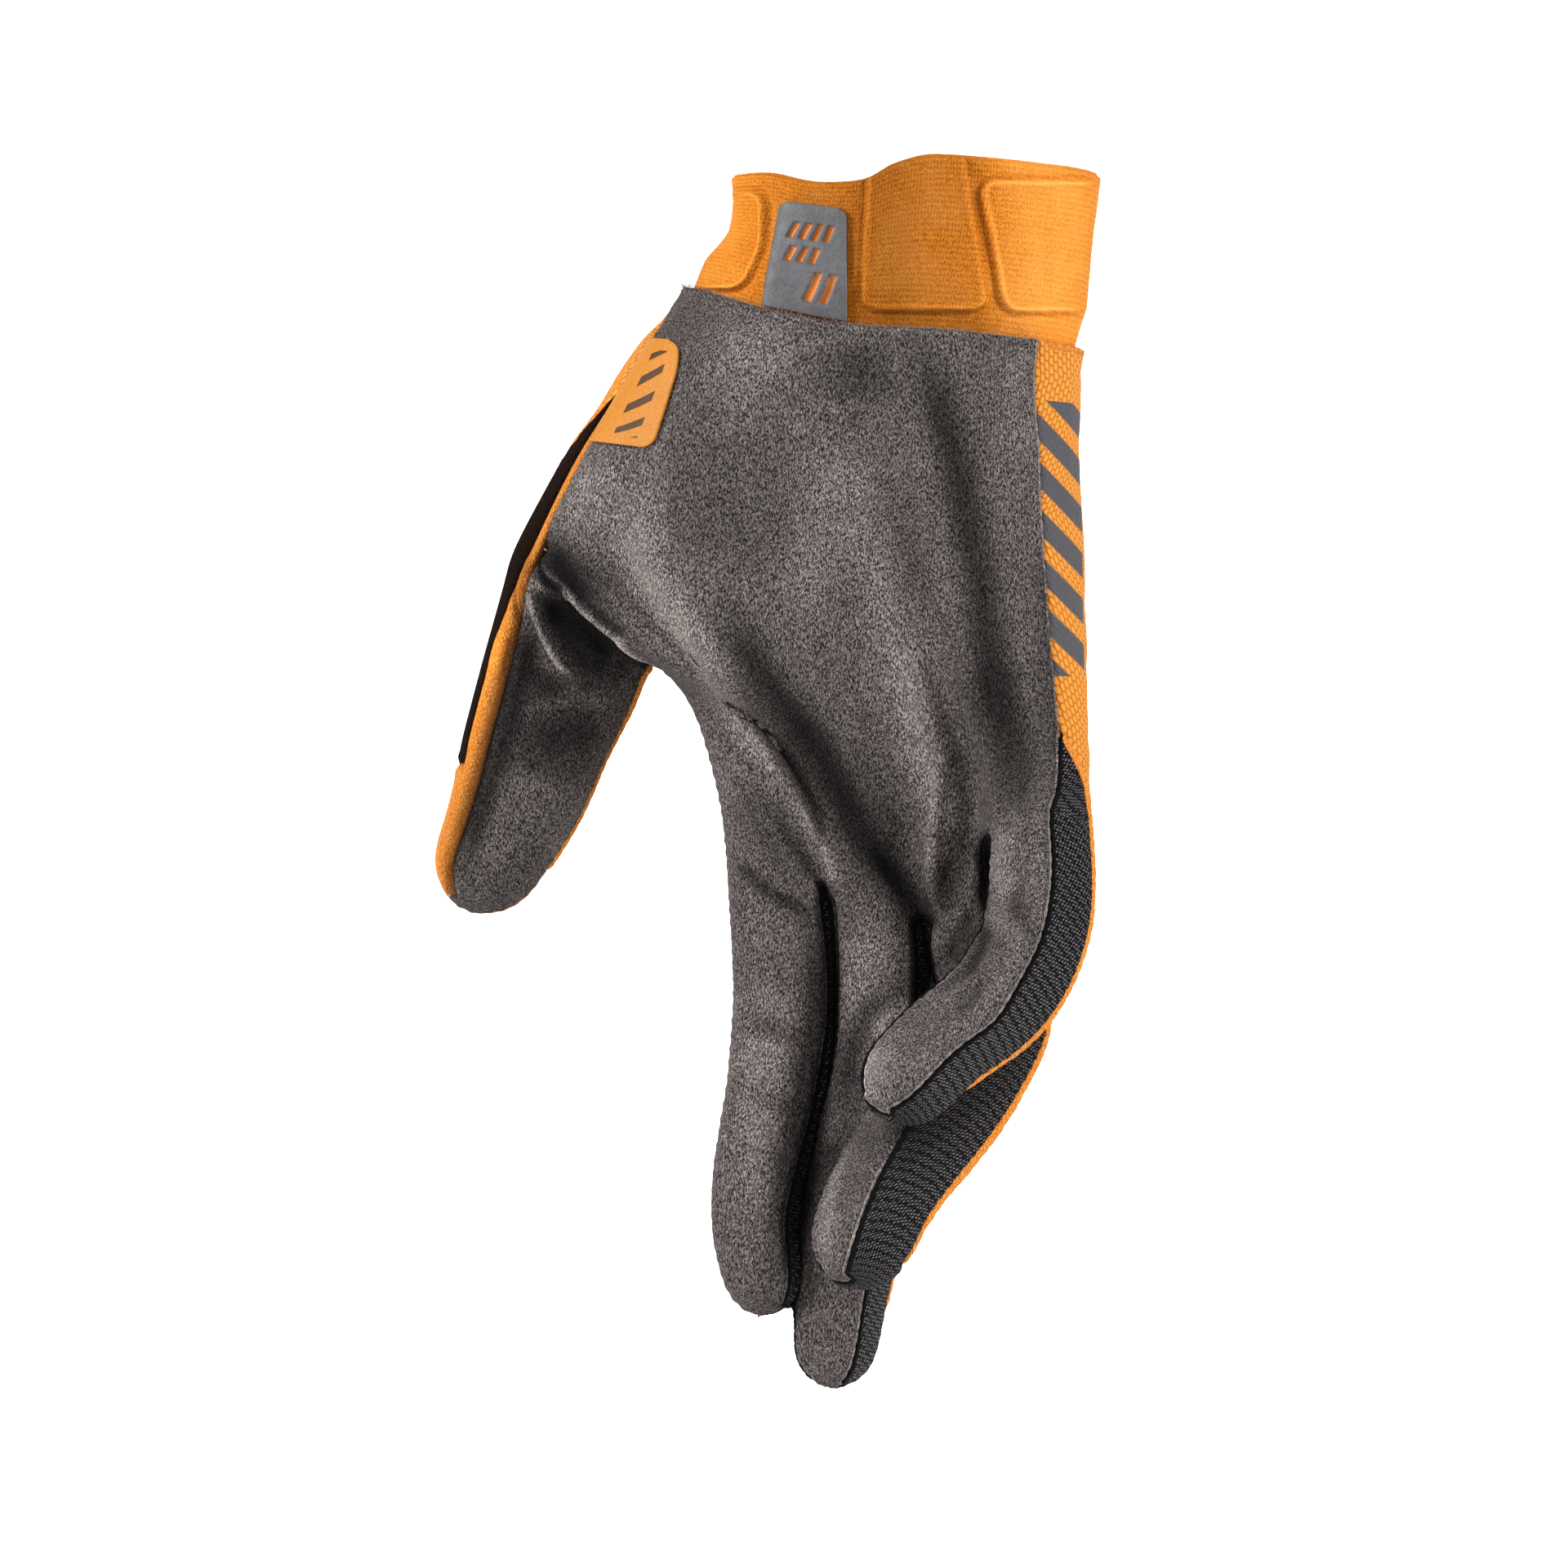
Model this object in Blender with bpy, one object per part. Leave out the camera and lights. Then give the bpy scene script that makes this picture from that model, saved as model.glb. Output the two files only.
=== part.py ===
"""A mountain bike glove for the right hand, in the form that it has on a relaxed hand.

The palm faces -Y, the fingers hang down along -Z and the thumb points to -X. The origin is the
middle of the wrist, level with the seam that joins the cuff to the hand. The hand is one closed
cage of rings, branched into fingers and thumb, and every sewn panel is a part of that cage with
the thickness of its cloth.
"""

import math

import bpy
from mathutils import Vector
from mathutils.bvhtree import BVHTree

# Driving dimensions, in metres
HAND_LENGTH = 0.190
FINGER_WIDTH = 0.016
FINGER_DEPTH = 0.019
WEB_GAP = 0.002
WRIST_WIDTH = 0.071
WRIST_DEPTH = 0.046
THUMB_WIDTH = 0.028
THUMB_DEPTH = 0.022
TIP_ROUNDING = 0.0075
SIDE_BULGE = 0.0020
WRIST_BULGE = 0.0045
SUEDE_WALL = 0.0014
MESH_WALL = 0.0012
CUFF_WALL = 0.0018
CUFF_TUCK = 0.006
TUCK_INSET = 0.0038
CUFF_HEIGHT = 0.0263
LABEL_WIDTH = 0.0125
LABEL_THICKNESS = 0.0010
PATCH_THICKNESS = 0.0010
PIECE_GAP = 0.0003
WEB_LIFT = 0.0012
PAD_RELIEF = 0.0008

# The units of every share below: across the knuckles, down the hand and through a finger
ACROSS = 4 * FINGER_WIDTH + 3 * WEB_GAP
DOWN = HAND_LENGTH
DEEP = FINGER_DEPTH

# How the cage is divided
PALM_ROWS = 14
FINGER_STEPS = 4
SIDE_STEPS = 3
FINGER_RINGS = 10
THUMB_RINGS = 9
THUMB_FIRST_ROW = 5
THUMB_LAST_ROW = 10
TIP_ANGLES = (35, 62)
BOXINESS = 4.0
THUMB_BOXINESS = 3.0
WRIST_BOXINESS = 2.2

PALM_COLUMNS = 4 * FINGER_STEPS + 3
ULNAR_BACK = PALM_COLUMNS + SIDE_STEPS
RADIAL_BACK = ULNAR_BACK + PALM_COLUMNS
COLUMNS = RADIAL_BACK + SIDE_STEPS

# Sections down each finger: across, down and deep place the middle, width and depth are shares
# of the named finger sizes, roll turns the palmar side to the thumb, slant lowers the little side
INDEX = [
    # across, down, deep, width, depth, roll, slant
    (-0.273, 0.514, -0.05, 1.00, 0.95, 5, 0.049),
    (-0.257, 0.566, -0.09, 1.09, 0.96, 7, 0.021),
    (-0.244, 0.642, -0.19, 1.14, 0.96, 10, 0.0),
    (-0.266, 0.717, -0.34, 1.08, 0.93, 11, 0.0),
    (-0.305, 0.785, -0.47, 1.00, 0.90, 12, 0.0),
    (-0.324, 0.844, -0.55, 0.90, 0.82, 12, 0.0),
    (-0.287, 0.927, -0.67, 0.76, 0.72, 12, 0.0),
]
MIDDLE = [
    # across, down, deep, width, depth, roll, slant
    (0.000, 0.559, -0.11, 0.96, 1.00, 15, 0.036),
    (0.014, 0.615, -0.20, 1.00, 1.02, 20, 0.011),
    (0.008, 0.687, -0.31, 0.99, 1.03, 24, 0.0),
    (-0.032, 0.755, -0.39, 1.00, 1.00, 26, 0.0),
    (-0.065, 0.830, -0.48, 0.98, 0.95, 26, 0.0),
    (-0.100, 0.894, -0.52, 0.90, 0.82, 25, 0.0),
    (-0.136, 0.996, -0.53, 0.76, 0.66, 24, 0.0),
]
RING = [
    # across, down, deep, width, depth, roll, slant
    (0.233, 0.532, -0.32, 0.93, 0.98, 30, -0.074),
    (0.257, 0.584, -0.38, 0.98, 1.02, 34, -0.037),
    (0.282, 0.629, -0.50, 0.97, 1.02, 42, -0.011),
    (0.241, 0.678, -0.76, 0.98, 1.01, 48, 0.0),
    (0.167, 0.722, -1.06, 0.98, 1.00, 52, 0.0),
    (0.065, 0.771, -1.36, 0.95, 0.96, 54, 0.0),
    (-0.014, 0.814, -1.56, 0.92, 0.88, 53, 0.0),
    (-0.110, 0.891, -1.82, 0.82, 0.72, 48, 0.0),
]
LITTLE = [
    # across, down, deep, width, depth, roll, slant
    (0.385, 0.481, -1.10, 0.88, 0.86, 42, -0.016),
    (0.384, 0.534, -1.27, 0.93, 0.88, 42, 0.0),
    (0.361, 0.578, -1.46, 0.95, 0.88, 44, 0.0),
    (0.305, 0.617, -1.64, 0.95, 0.88, 46, 0.0),
    (0.235, 0.645, -1.80, 0.95, 0.86, 46, 0.0),
    (0.149, 0.673, -1.95, 0.94, 0.83, 46, 0.0),
    (-0.018, 0.736, -2.24, 0.88, 0.76, 44, 0.0),
]
# The thumb's widths and depths are shares of THUMB_WIDTH and THUMB_DEPTH
THUMB = [
    # across, down, deep, width, depth, roll, slant
    (-0.742, 0.278, 0.00, 1.00, 1.00, -8, 0.053),
    (-0.791, 0.311, 0.00, 0.98, 0.95, -8, 0.032),
    (-0.841, 0.353, -0.03, 0.95, 0.93, -8, 0.011),
    (-0.884, 0.395, -0.08, 0.90, 0.91, -8, 0.0),
    (-0.922, 0.440, -0.13, 0.84, 0.86, -8, 0.0),
    (-0.965, 0.478, -0.16, 0.75, 0.80, -8, 0.0),
    (-1.062, 0.552, -0.24, 0.56, 0.64, -8, 0.0),
]

# Where a section's corners lie, in degrees from its palmar side towards the little finger:
# palmar corner by the thumb, palmar corner by the little finger, and the two back corners
FINGER_CORNERS = (-45, 45, 135, 225)
INDEX_CORNERS = (-85, 39, 135, 235)
THUMB_CORNERS = (-38, 72, 120, 235)
# How much of the opening's outline the thumb's first rings keep
THUMB_ROOT_BLEND = (0.7, 0.35, 0.12)

# Lines down the hand that the panels follow, from the wrist to the knuckles, by cage row
RADIAL_PALM_EDGE = [
    # row, across, down, deep
    (1, -0.583, 0.025, -0.26),
    (2, -0.654, 0.071, -0.37),
    (3, -0.730, 0.117, -0.45),
    (4, -0.803, 0.167, -0.47),
    (5, -0.880, 0.226, -0.42),
    (6, -0.843, 0.252, -0.58),
    (7, -0.785, 0.277, -0.68),
    (8, -0.719, 0.297, -0.71),
    (9, -0.650, 0.313, -0.61),
    (10, -0.580, 0.326, -0.37),
    (11, -0.496, 0.354, -0.21),
    (12, -0.443, 0.400, -0.16),
    (13, -0.410, 0.452, -0.16),
]
RADIAL_BACK_EDGE = [
    # row, across, down, deep
    (1, -0.597, 0.015, 0.47),
    (2, -0.675, 0.059, 0.53),
    (3, -0.763, 0.104, 0.53),
    (4, -0.846, 0.153, 0.50),
    (5, -0.928, 0.212, 0.37),
    (6, -0.890, 0.241, 0.50),
    (7, -0.822, 0.265, 0.58),
    (8, -0.751, 0.289, 0.58),
    (9, -0.675, 0.310, 0.53),
    (10, -0.589, 0.329, 0.45),
    (11, -0.482, 0.352, 0.42),
    (12, -0.420, 0.394, 0.42),
    (13, -0.382, 0.448, 0.39),
]
ULNAR_PALM_EDGE = [
    # row, across, down, deep
    (1, 0.367, 0.061, -0.76),
    (3, 0.378, 0.123, -0.66),
    (6, 0.394, 0.219, -0.66),
    (9, 0.419, 0.316, -0.82),
    (11, 0.437, 0.386, -1.03),
    (12, 0.435, 0.416, -1.18),
    (13, 0.423, 0.445, -1.37),
]
ULNAR_BACK_EDGE = [
    # row, across, down, deep
    (1, 0.503, 0.054, 0.42),
    (3, 0.501, 0.118, 0.32),
    (6, 0.510, 0.216, 0.21),
    (9, 0.512, 0.314, 0.00),
    (11, 0.512, 0.385, -0.37),
    (12, 0.512, 0.415, -0.58),
    (13, 0.512, 0.446, -0.82),
]
# The seam at the wrist drops from the thumb's side to the other, across as a share of the
# wrist's half width
SEAM_LINE = [
    # across, down
    (-1.0, -0.027),
    (-0.6, 0.0),
    (-0.2, 0.015),
    (0.3, 0.020),
    (0.72, 0.027),
    (1.0, 0.032),
]
# Soft swellings of the palm: middle, half sizes and height towards the viewer
SWELLINGS = [
    # across, down, half across, half down, height
    (-0.38, 0.19, 0.26, 0.14, 0.30),
    (0.20, 0.16, 0.20, 0.16, 0.16),
    (-0.02, 0.28, 0.16, 0.10, -0.14),
    (-0.25, 0.42, 0.14, 0.06, 0.14),
]
# Folds in the suede: a ridge, or a valley where the height is below zero, between two places
FOLDS = [
    # from across, down, to across, down, height, half width
    (-0.33, 0.40, -0.13, 0.535, 0.075, 0.030),
    (-0.10, 0.47, 0.05, 0.545, -0.060, 0.030),
    (-0.36, 0.51, -0.20, 0.555, -0.050, 0.025),
    (0.13, 0.47, 0.11, 0.545, 0.050, 0.030),
    (-0.25, 0.06, -0.16, 0.18, -0.060, 0.060),
    (0.15, 0.24, 0.36, 0.42, -0.060, 0.060),
    (-0.86, 0.21, -0.74, 0.285, -0.070, 0.035),
    (-0.89, 0.25, -0.79, 0.34, 0.060, 0.025),
]

# Heights of the cuff's upper edge above the wrist, across as a share of its half width there
CUFF_TOP_EDGE = [
    # across, height as a share of CUFF_HEIGHT
    (-1.0, 0.94),
    (-0.80, 0.92),
    (-0.58, 0.85),
    (-0.40, 0.84),
    (-0.28, 0.86),
    (-0.14, 0.95),
    (0.04, 1.01),
    (0.20, 1.01),
    (0.70, 0.97),
    (1.0, 0.95),
]
# Sections up the cuff: middle and half sizes as shares of the wrist's half width and half depth
CUFF_SECTIONS = [
    # rise, middle across, half width, half depth
    (0.0, 0.0, 1.0, 1.0),
    (0.25, 0.060, 0.955, 0.965),
    (0.5, 0.125, 0.910, 0.945),
    (0.75, 0.150, 0.910, 0.945),
    (1.0, 0.162, 0.926, 0.96),
]
CUFF_COLUMNS = 64
CUFF_ROWS = 8
# Padded fields of the cuff: their ends round the cuff in degrees from the middle of its front
# towards the little finger, and up the cuff as shares of its height
PADS = [
    # left, right, low, high
    (-80, -47, 0.28, 0.93),
    (-9, 24, 0.10, 1.10),
    (27, 70, 0.14, 0.94),
]
LABEL_MIDDLE = -28
LABEL_ROWS = (0.055, 0.84)
LABEL_COLUMNS = 6
# The patch on the palm lies beside the thumb's seam, its sides at these cage columns
PATCH = [
    # row, left column, right column
    (0.93, 0.25, 3.60),
    (1.00, 0.25, 4.20),
    (1.15, 0.25, 4.50),
    (1.60, 0.25, 4.60),
    (2.00, 0.25, 4.65),
    (2.40, 0.25, 4.70),
    (2.80, 0.25, 4.75),
    (2.95, 0.25, 4.50),
    (3.03, 0.25, 4.00),
]
PATCH_COLUMNS = 9


def place(across, down, deep):
    """Returns the point at shares of the glove's three units."""
    return Vector((across * ACROSS, deep * DEEP, -down * DOWN))


def spline(table, at):
    """Reads a table of rows, whose first column rises, at one place, on a smooth curve."""
    rows = table
    if at <= rows[0][0]:
        return list(rows[0][1:])
    if at >= rows[-1][0]:
        return list(rows[-1][1:])
    i = max(k for k in range(len(rows) - 1) if rows[k][0] <= at)
    a, b = rows[i], rows[i + 1]
    before, after = rows[max(i - 1, 0)], rows[min(i + 2, len(rows) - 1)]
    span = b[0] - a[0]
    t = (at - a[0]) / span
    values = []
    for c in range(1, len(a)):
        into = (b[c] - before[c]) / (b[0] - before[0]) * span
        out = (after[c] - a[c]) / (after[0] - a[0]) * span
        values.append((2 * t**3 - 3 * t**2 + 1) * a[c] + (t**3 - 2 * t**2 + t) * into
                      + (3 * t**2 - 2 * t**3) * b[c] + (t**3 - t**2) * out)
    return values


def ray_point(angle, boxiness):
    """Returns the point of a unit rounded square that a ray at this angle meets."""
    s, c = math.sin(angle), math.cos(angle)
    reach = (abs(s) ** boxiness + abs(c) ** boxiness) ** (-1 / boxiness)
    return s * reach, c * reach


def corner_angles(corners, steps):
    """Returns a ring's angles in radians: palmar side, little side, back and thumb side."""
    ends = list(corners) + [corners[0] + 360]
    angles = []
    for side in range(4):
        count = steps if side % 2 == 0 else SIDE_STEPS
        for k in range(count):
            angles.append(math.radians(ends[side] + (ends[side + 1] - ends[side]) * k / count))
    return angles


def section(centre, tangent, width, depth, roll, slant, angles, boxiness):
    """Returns the points of one ring of a finger or the thumb."""
    turn = math.radians(roll)
    palmar = Vector((-math.sin(turn), -math.cos(turn), 0))
    palmar = (palmar - tangent * palmar.dot(tangent)).normalized()
    little = palmar.cross(tangent).normalized()
    points = []
    for angle in angles:
        s, p = ray_point(angle, boxiness)
        shift = tangent * (slant * s / 2)
        points.append(centre + little * (s * width / 2) + palmar * (p * depth / 2) + shift)
    return points


def finger_rings(table, width, depth, angles, boxiness, count):
    """Lofts a finger from its socket to its rounded tip and returns the rings and the tip."""
    centres = [place(*row[:3]) for row in table]
    lengths = [0.0]
    for a, b in zip(centres, centres[1:]):
        lengths.append(lengths[-1] + (b - a).length)
    rows = [(length, *centre, *row[3:]) for length, centre, row in zip(lengths, centres, table)]
    straight = lengths[-1] - TIP_ROUNDING
    stops = [(straight * k / count, 1.0) for k in range(count + 1)]
    for degrees in TIP_ANGLES:
        turn = math.radians(degrees)
        stops.append((straight + TIP_ROUNDING * math.sin(turn), math.cos(turn)))
    rings = []
    step = TIP_ROUNDING / 4
    for at, scale in stops:
        x, y, z, w, d, roll, slant = spline(rows, at)
        ahead = Vector(spline(rows, at + step)[:3])
        behind = Vector(spline(rows, at - step)[:3])
        tangent = (ahead - behind).normalized()
        rings.append(section(Vector((x, y, z)), tangent, w * width * scale, d * depth * scale,
                             roll, slant * DOWN, angles, boxiness))
    return rings, centres[-1]


class Cage:
    """The hand's closed surface, as points and faces that each belong to a named panel."""

    def __init__(self):
        self.points = []
        self.faces = []
        self.grid = []
        self.webs = set()

    def add(self, point):
        self.points.append(point)
        return len(self.points) - 1

    def face(self, corners, panel):
        self.faces.append((tuple(corners), panel))

    def loft(self, rings, panel_of):
        """Joins rings of point numbers, each face going to the panel that panel_of names."""
        for j in range(len(rings) - 1):
            a, b = rings[j], rings[j + 1]
            for k in range(len(a)):
                n = (k + 1) % len(a)
                self.face((a[k], b[k], b[n], a[n]), panel_of(j, k))

    def cap(self, ring, steps, tip, panels):
        """Closes a fingertip with a domed grid of faces, whose rows go to the named panels."""
        border = {}
        for k in range(steps):
            border[(k, 0)] = ring[k]
            border[(steps - k, SIDE_STEPS)] = ring[steps + SIDE_STEPS + k]
        for k in range(SIDE_STEPS):
            border[(steps, k)] = ring[steps + k]
            border[(0, SIDE_STEPS - k)] = ring[2 * steps + SIDE_STEPS + k]
        middle = sum((self.points[n] for n in ring), Vector()) / len(ring)
        grid = dict(border)
        for i in range(1, steps):
            for j in range(1, SIDE_STEPS):
                u, v = i / steps, j / SIDE_STEPS
                low, high = self.points[border[(i, 0)]], self.points[border[(i, SIDE_STEPS)]]
                left, right = self.points[border[(0, j)]], self.points[border[(steps, j)]]
                flat = (low.lerp(high, v) + left.lerp(right, u)) / 2
                rise = 1 - max(abs(2 * u - 1), abs(2 * v - 1)) ** 2
                grid[(i, j)] = self.add(flat + (tip - middle) * rise)
        for i in range(steps):
            for j in range(SIDE_STEPS):
                corners = (grid[(i, j)], grid[(i, j + 1)], grid[(i + 1, j + 1)], grid[(i + 1, j)])
                self.face(corners, panels[j])

    def normals(self):
        """Returns each point's outward direction on the whole surface."""
        normals = [Vector() for _ in self.points]
        for corners, _ in self.faces:
            p = [self.points[n] for n in corners]
            across = p[2] - p[0]
            other = (p[3] if len(p) == 4 else p[0]) - p[1]
            if len(p) == 3:
                across, other = p[1] - p[0], p[2] - p[0]
            normal = across.cross(other).normalized()
            for n in corners:
                normals[n] += normal
        return [normal.normalized() for normal in normals]


def wrist_ring():
    """Returns the ring at the wrist's seam, with the hand's column for each of its points."""
    ends = (-98, 46, 112, 248, 262)
    counts = (PALM_COLUMNS, SIDE_STEPS, PALM_COLUMNS, SIDE_STEPS)
    points = []
    for side in range(4):
        for k in range(counts[side]):
            share = ends[side] + (ends[side + 1] - ends[side]) * k / counts[side]
            s, p = ray_point(math.radians(share), WRIST_BOXINESS)
            down = spline(SEAM_LINE, s)[0] * DOWN
            points.append(Vector((s * WRIST_WIDTH / 2, -p * WRIST_DEPTH / 2, -down)))
    return points


def coons(top, bottom, left, right, u, v, k):
    """Blends four border lines into the point of column k at shares u across and v down."""
    ruled = top[k] * (1 - v) + bottom[k] * v + left * (1 - u) + right * u
    corners = (top[0] * (1 - u) + top[-1] * u) * (1 - v) + (bottom[0] * (1 - u) + bottom[-1] * u) * v
    return ruled - corners


def side_arc(front, back, bulge):
    """Returns the two points between two edges of the hand, pushed out square to their chord."""
    chord = back - front
    out = Vector((chord.y, -chord.x, 0)).normalized()
    points = []
    for k in range(1, SIDE_STEPS):
        t = k / SIDE_STEPS
        points.append(front.lerp(back, t) + out * (bulge * math.sin(math.pi * t)))
    return points


def row_share(row):
    """Returns how far down the hand a cage row lies."""
    return row / PALM_ROWS


def palm_grid(cage, sockets):
    """Adds the hand's rows between the wrist and the finger sockets; returns their numbers."""
    top = wrist_ring()
    bottom = [cage.points[n] for n in sockets]
    grid = [[cage.add(p) for p in top]]
    for row in range(1, PALM_ROWS):
        v = row_share(row)
        palm_left = place(*spline(RADIAL_PALM_EDGE, row))
        palm_right = place(*spline(ULNAR_PALM_EDGE, row))
        back_left = place(*spline(RADIAL_BACK_EDGE, row))
        back_right = place(*spline(ULNAR_BACK_EDGE, row))
        points = [None] * COLUMNS
        for k in range(PALM_COLUMNS + 1):
            u = k / PALM_COLUMNS
            points[k] = coons(top[:PALM_COLUMNS + 1], bottom[:PALM_COLUMNS + 1],
                              palm_left, palm_right, u, v, k)
            points[ULNAR_BACK + k] = coons(top[ULNAR_BACK:RADIAL_BACK + 1],
                                           bottom[ULNAR_BACK:RADIAL_BACK + 1],
                                           back_right, back_left, u, v, k)
        bulge = SIDE_BULGE + (WRIST_BULGE - SIDE_BULGE) * max(0, 1 - row / 4)
        points[PALM_COLUMNS + 1:ULNAR_BACK] = side_arc(palm_right, back_right, bulge)
        points[RADIAL_BACK + 1:] = side_arc(back_left, palm_left, SIDE_BULGE)
        in_hole = THUMB_FIRST_ROW < row < THUMB_LAST_ROW
        numbers = []
        for c, point in enumerate(points):
            numbers.append(None if in_hole and c > RADIAL_BACK else cage.add(point))
        grid.append(numbers)
    grid.append(sockets)
    return grid


def taper(cage, a, b, c, d, upper, lower):
    """Splits a face along its a to c diagonal between the panels above and below it."""
    cage.face((a, b, c), lower)
    cage.face((a, c, d), upper)


def hand_cage():
    """Builds the whole hand: fingers first, then the hand's rows, then the thumb."""
    cage = Cage()
    finger_angles = corner_angles(FINGER_CORNERS, FINGER_STEPS)
    index_angles = corner_angles(INDEX_CORNERS, FINGER_STEPS)
    fingers = []
    for table, angles in ((INDEX, index_angles), (MIDDLE, finger_angles),
                          (RING, finger_angles), (LITTLE, finger_angles)):
        rings, tip = finger_rings(table, FINGER_WIDTH, FINGER_DEPTH, angles, BOXINESS,
                                  FINGER_RINGS)
        fingers.append(([[cage.add(p) for p in ring] for ring in rings], tip))

    sides = ["index_side_panel", "index_middle_fourchette", "middle_ring_fourchette",
             "ring_little_fourchette", "little_side_panel"]
    palm_end, little_end, back_end = FINGER_STEPS, FINGER_STEPS + SIDE_STEPS, \
        2 * FINGER_STEPS + SIDE_STEPS
    sockets = [None] * COLUMNS
    for f, (rings, tip) in enumerate(fingers):
        def panel_of(j, k, f=f):
            if k < palm_end:
                return "palm_panel"
            if k < little_end:
                return sides[f + 1]
            return "back_panel" if k < back_end else sides[f]
        cage.loft(rings, panel_of)
        cage.cap(rings[-1], FINGER_STEPS, tip, ("palm_panel", sides[f + 1], "back_panel"))
        first = rings[0]
        for k in range(FINGER_STEPS + 1):
            sockets[f * (FINGER_STEPS + 1) + k] = first[k]
            sockets[ULNAR_BACK + (3 - f) * (FINGER_STEPS + 1) + k] = first[little_end + k]
    for k in range(1, SIDE_STEPS):
        sockets[PALM_COLUMNS + k] = fingers[3][0][0][palm_end + k]
        sockets[RADIAL_BACK + k] = fingers[0][0][0][back_end + k]
    for f in range(3):
        thumb_side, little_side = fingers[f][0][0], fingers[f + 1][0][0]
        near = [thumb_side[palm_end + k] for k in range(SIDE_STEPS + 1)]
        far = [little_side[-k] for k in range(SIDE_STEPS + 1)]
        cage.webs.update(near, far)
        for k in range(SIDE_STEPS):
            cage.face((near[k], near[k + 1], far[k + 1], far[k]), sides[f + 1])

    grid = palm_grid(cage, sockets)
    cage.grid = grid
    for r in range(PALM_ROWS):
        for c in range(COLUMNS):
            n = (c + 1) % COLUMNS
            corners = (grid[r][c], grid[r + 1][c], grid[r + 1][n], grid[r][n])
            if c < PALM_COLUMNS:
                cage.face(corners, "palm_panel")
            elif c < ULNAR_BACK:
                side_of_taper(cage, corners, r - (PALM_ROWS - SIDE_STEPS), c - PALM_COLUMNS)
            elif c < RADIAL_BACK:
                cage.face(corners, "back_panel")
            elif r < THUMB_FIRST_ROW:
                thumb_edge_face(cage, corners, r, c - RADIAL_BACK)
            elif r >= THUMB_LAST_ROW:
                index_edge_face(cage, corners, r - (PALM_ROWS - SIDE_STEPS),
                                SIDE_STEPS - 1 - (c - RADIAL_BACK))
    add_thumb(cage, grid)
    return cage


def side_of_taper(cage, corners, step, column):
    """Gives a face of the hand's outer edge to the mesh that tapers up it, or to the back."""
    if step == column:
        taper(cage, *corners, "back_panel", "little_side_panel")
    else:
        cage.face(corners, "little_side_panel" if step > column else "back_panel")


def index_edge_face(cage, corners, step, column):
    """Gives a face beside the index finger to its side panel, which tapers up, or to the back."""
    a, b, c, d = corners
    if step == column:
        cage.face((b, c, d), "index_side_panel")
        cage.face((a, b, d), "back_panel")
    else:
        cage.face(corners, "index_side_panel" if step > column else "back_panel")


def thumb_edge_face(cage, corners, row, column):
    """Gives a face above the thumb to its rolled ridge, to the wipe panel or to the back."""
    a, b, c, d = corners
    wipe_start = 2
    step = row - wipe_start
    reach = SIDE_STEPS - 2 - column
    if column == SIDE_STEPS - 1:
        cage.face(corners, "thumb_side_panel")
    elif step == reach:
        cage.face((b, c, d), "thumb_wipe_panel")
        cage.face((a, b, d), "back_panel")
    else:
        cage.face(corners, "thumb_wipe_panel" if step > reach else "back_panel")


def add_thumb(cage, grid):
    """Lofts the thumb out of the opening that the hand's rows leave at its side."""
    steps = THUMB_LAST_ROW - THUMB_FIRST_ROW
    hole = [grid[r][0] for r in range(THUMB_FIRST_ROW, THUMB_LAST_ROW + 1)]
    hole += [grid[THUMB_LAST_ROW][c] for c in range(COLUMNS - 1, RADIAL_BACK - 1, -1)]
    hole += [grid[r][RADIAL_BACK] for r in range(THUMB_LAST_ROW - 1, THUMB_FIRST_ROW - 1, -1)]
    hole += [grid[THUMB_FIRST_ROW][c] for c in range(RADIAL_BACK + 1, COLUMNS)]
    angles = corner_angles(THUMB_CORNERS, steps)
    rings, tip = finger_rings(THUMB, THUMB_WIDTH, THUMB_DEPTH, angles, THUMB_BOXINESS,
                              THUMB_RINGS)
    numbers = [hole]
    middle = sum(rings[0], Vector()) / len(hole)
    for j, ring in enumerate(rings[1:], start=1):
        centre = sum(ring, Vector()) / len(hole)
        keep = THUMB_ROOT_BLEND[j - 1] if j <= len(THUMB_ROOT_BLEND) else 0
        numbers.append([cage.add(p.lerp(cage.points[n] + centre - middle, keep))
                        for p, n in zip(ring, hole)])
    wipe_end = 6
    back_start = steps + SIDE_STEPS
    last = 2 * (steps + SIDE_STEPS) - 1

    def panel_of(j, k):
        if k < steps:
            return "thumb_palm_panel"
        if k == last:
            return "thumb_side_panel"
        if k >= back_start and j < wipe_end:
            return "thumb_wipe_panel"
        return "thumb_back_panel"
    cage.loft(numbers, panel_of)
    cage.cap(numbers[-1], steps, tip, ("thumb_palm_panel", "thumb_palm_panel", "thumb_back_panel"))


def shape_palm(cage):
    """Swells and folds the suede: moves points that face the viewer along their direction."""
    normals = cage.normals()
    for n, point in enumerate(cage.points):
        facing = max(0.0, -normals[n].y)
        if facing == 0:
            continue
        across, down = point.x / ACROSS, -point.z / DOWN
        height = 0.0
        for x, z, half_x, half_z, rise in SWELLINGS:
            far = ((across - x) / half_x) ** 2 + ((down - z) / half_z) ** 2
            height += rise * math.exp(-far)
        for x0, z0, x1, z1, rise, half in FOLDS:
            start = Vector((x0 * ACROSS, z0 * DOWN))
            along = Vector((x1 * ACROSS, z1 * DOWN)) - start
            here = Vector((point.x, -point.z)) - start
            share = min(1, max(0, here.dot(along) / along.length_squared))
            far = (here - along * share).length / (half * DOWN / 2)
            height += rise * math.exp(-far * far)
        point += normals[n] * (height * facing * DEEP)


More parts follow.
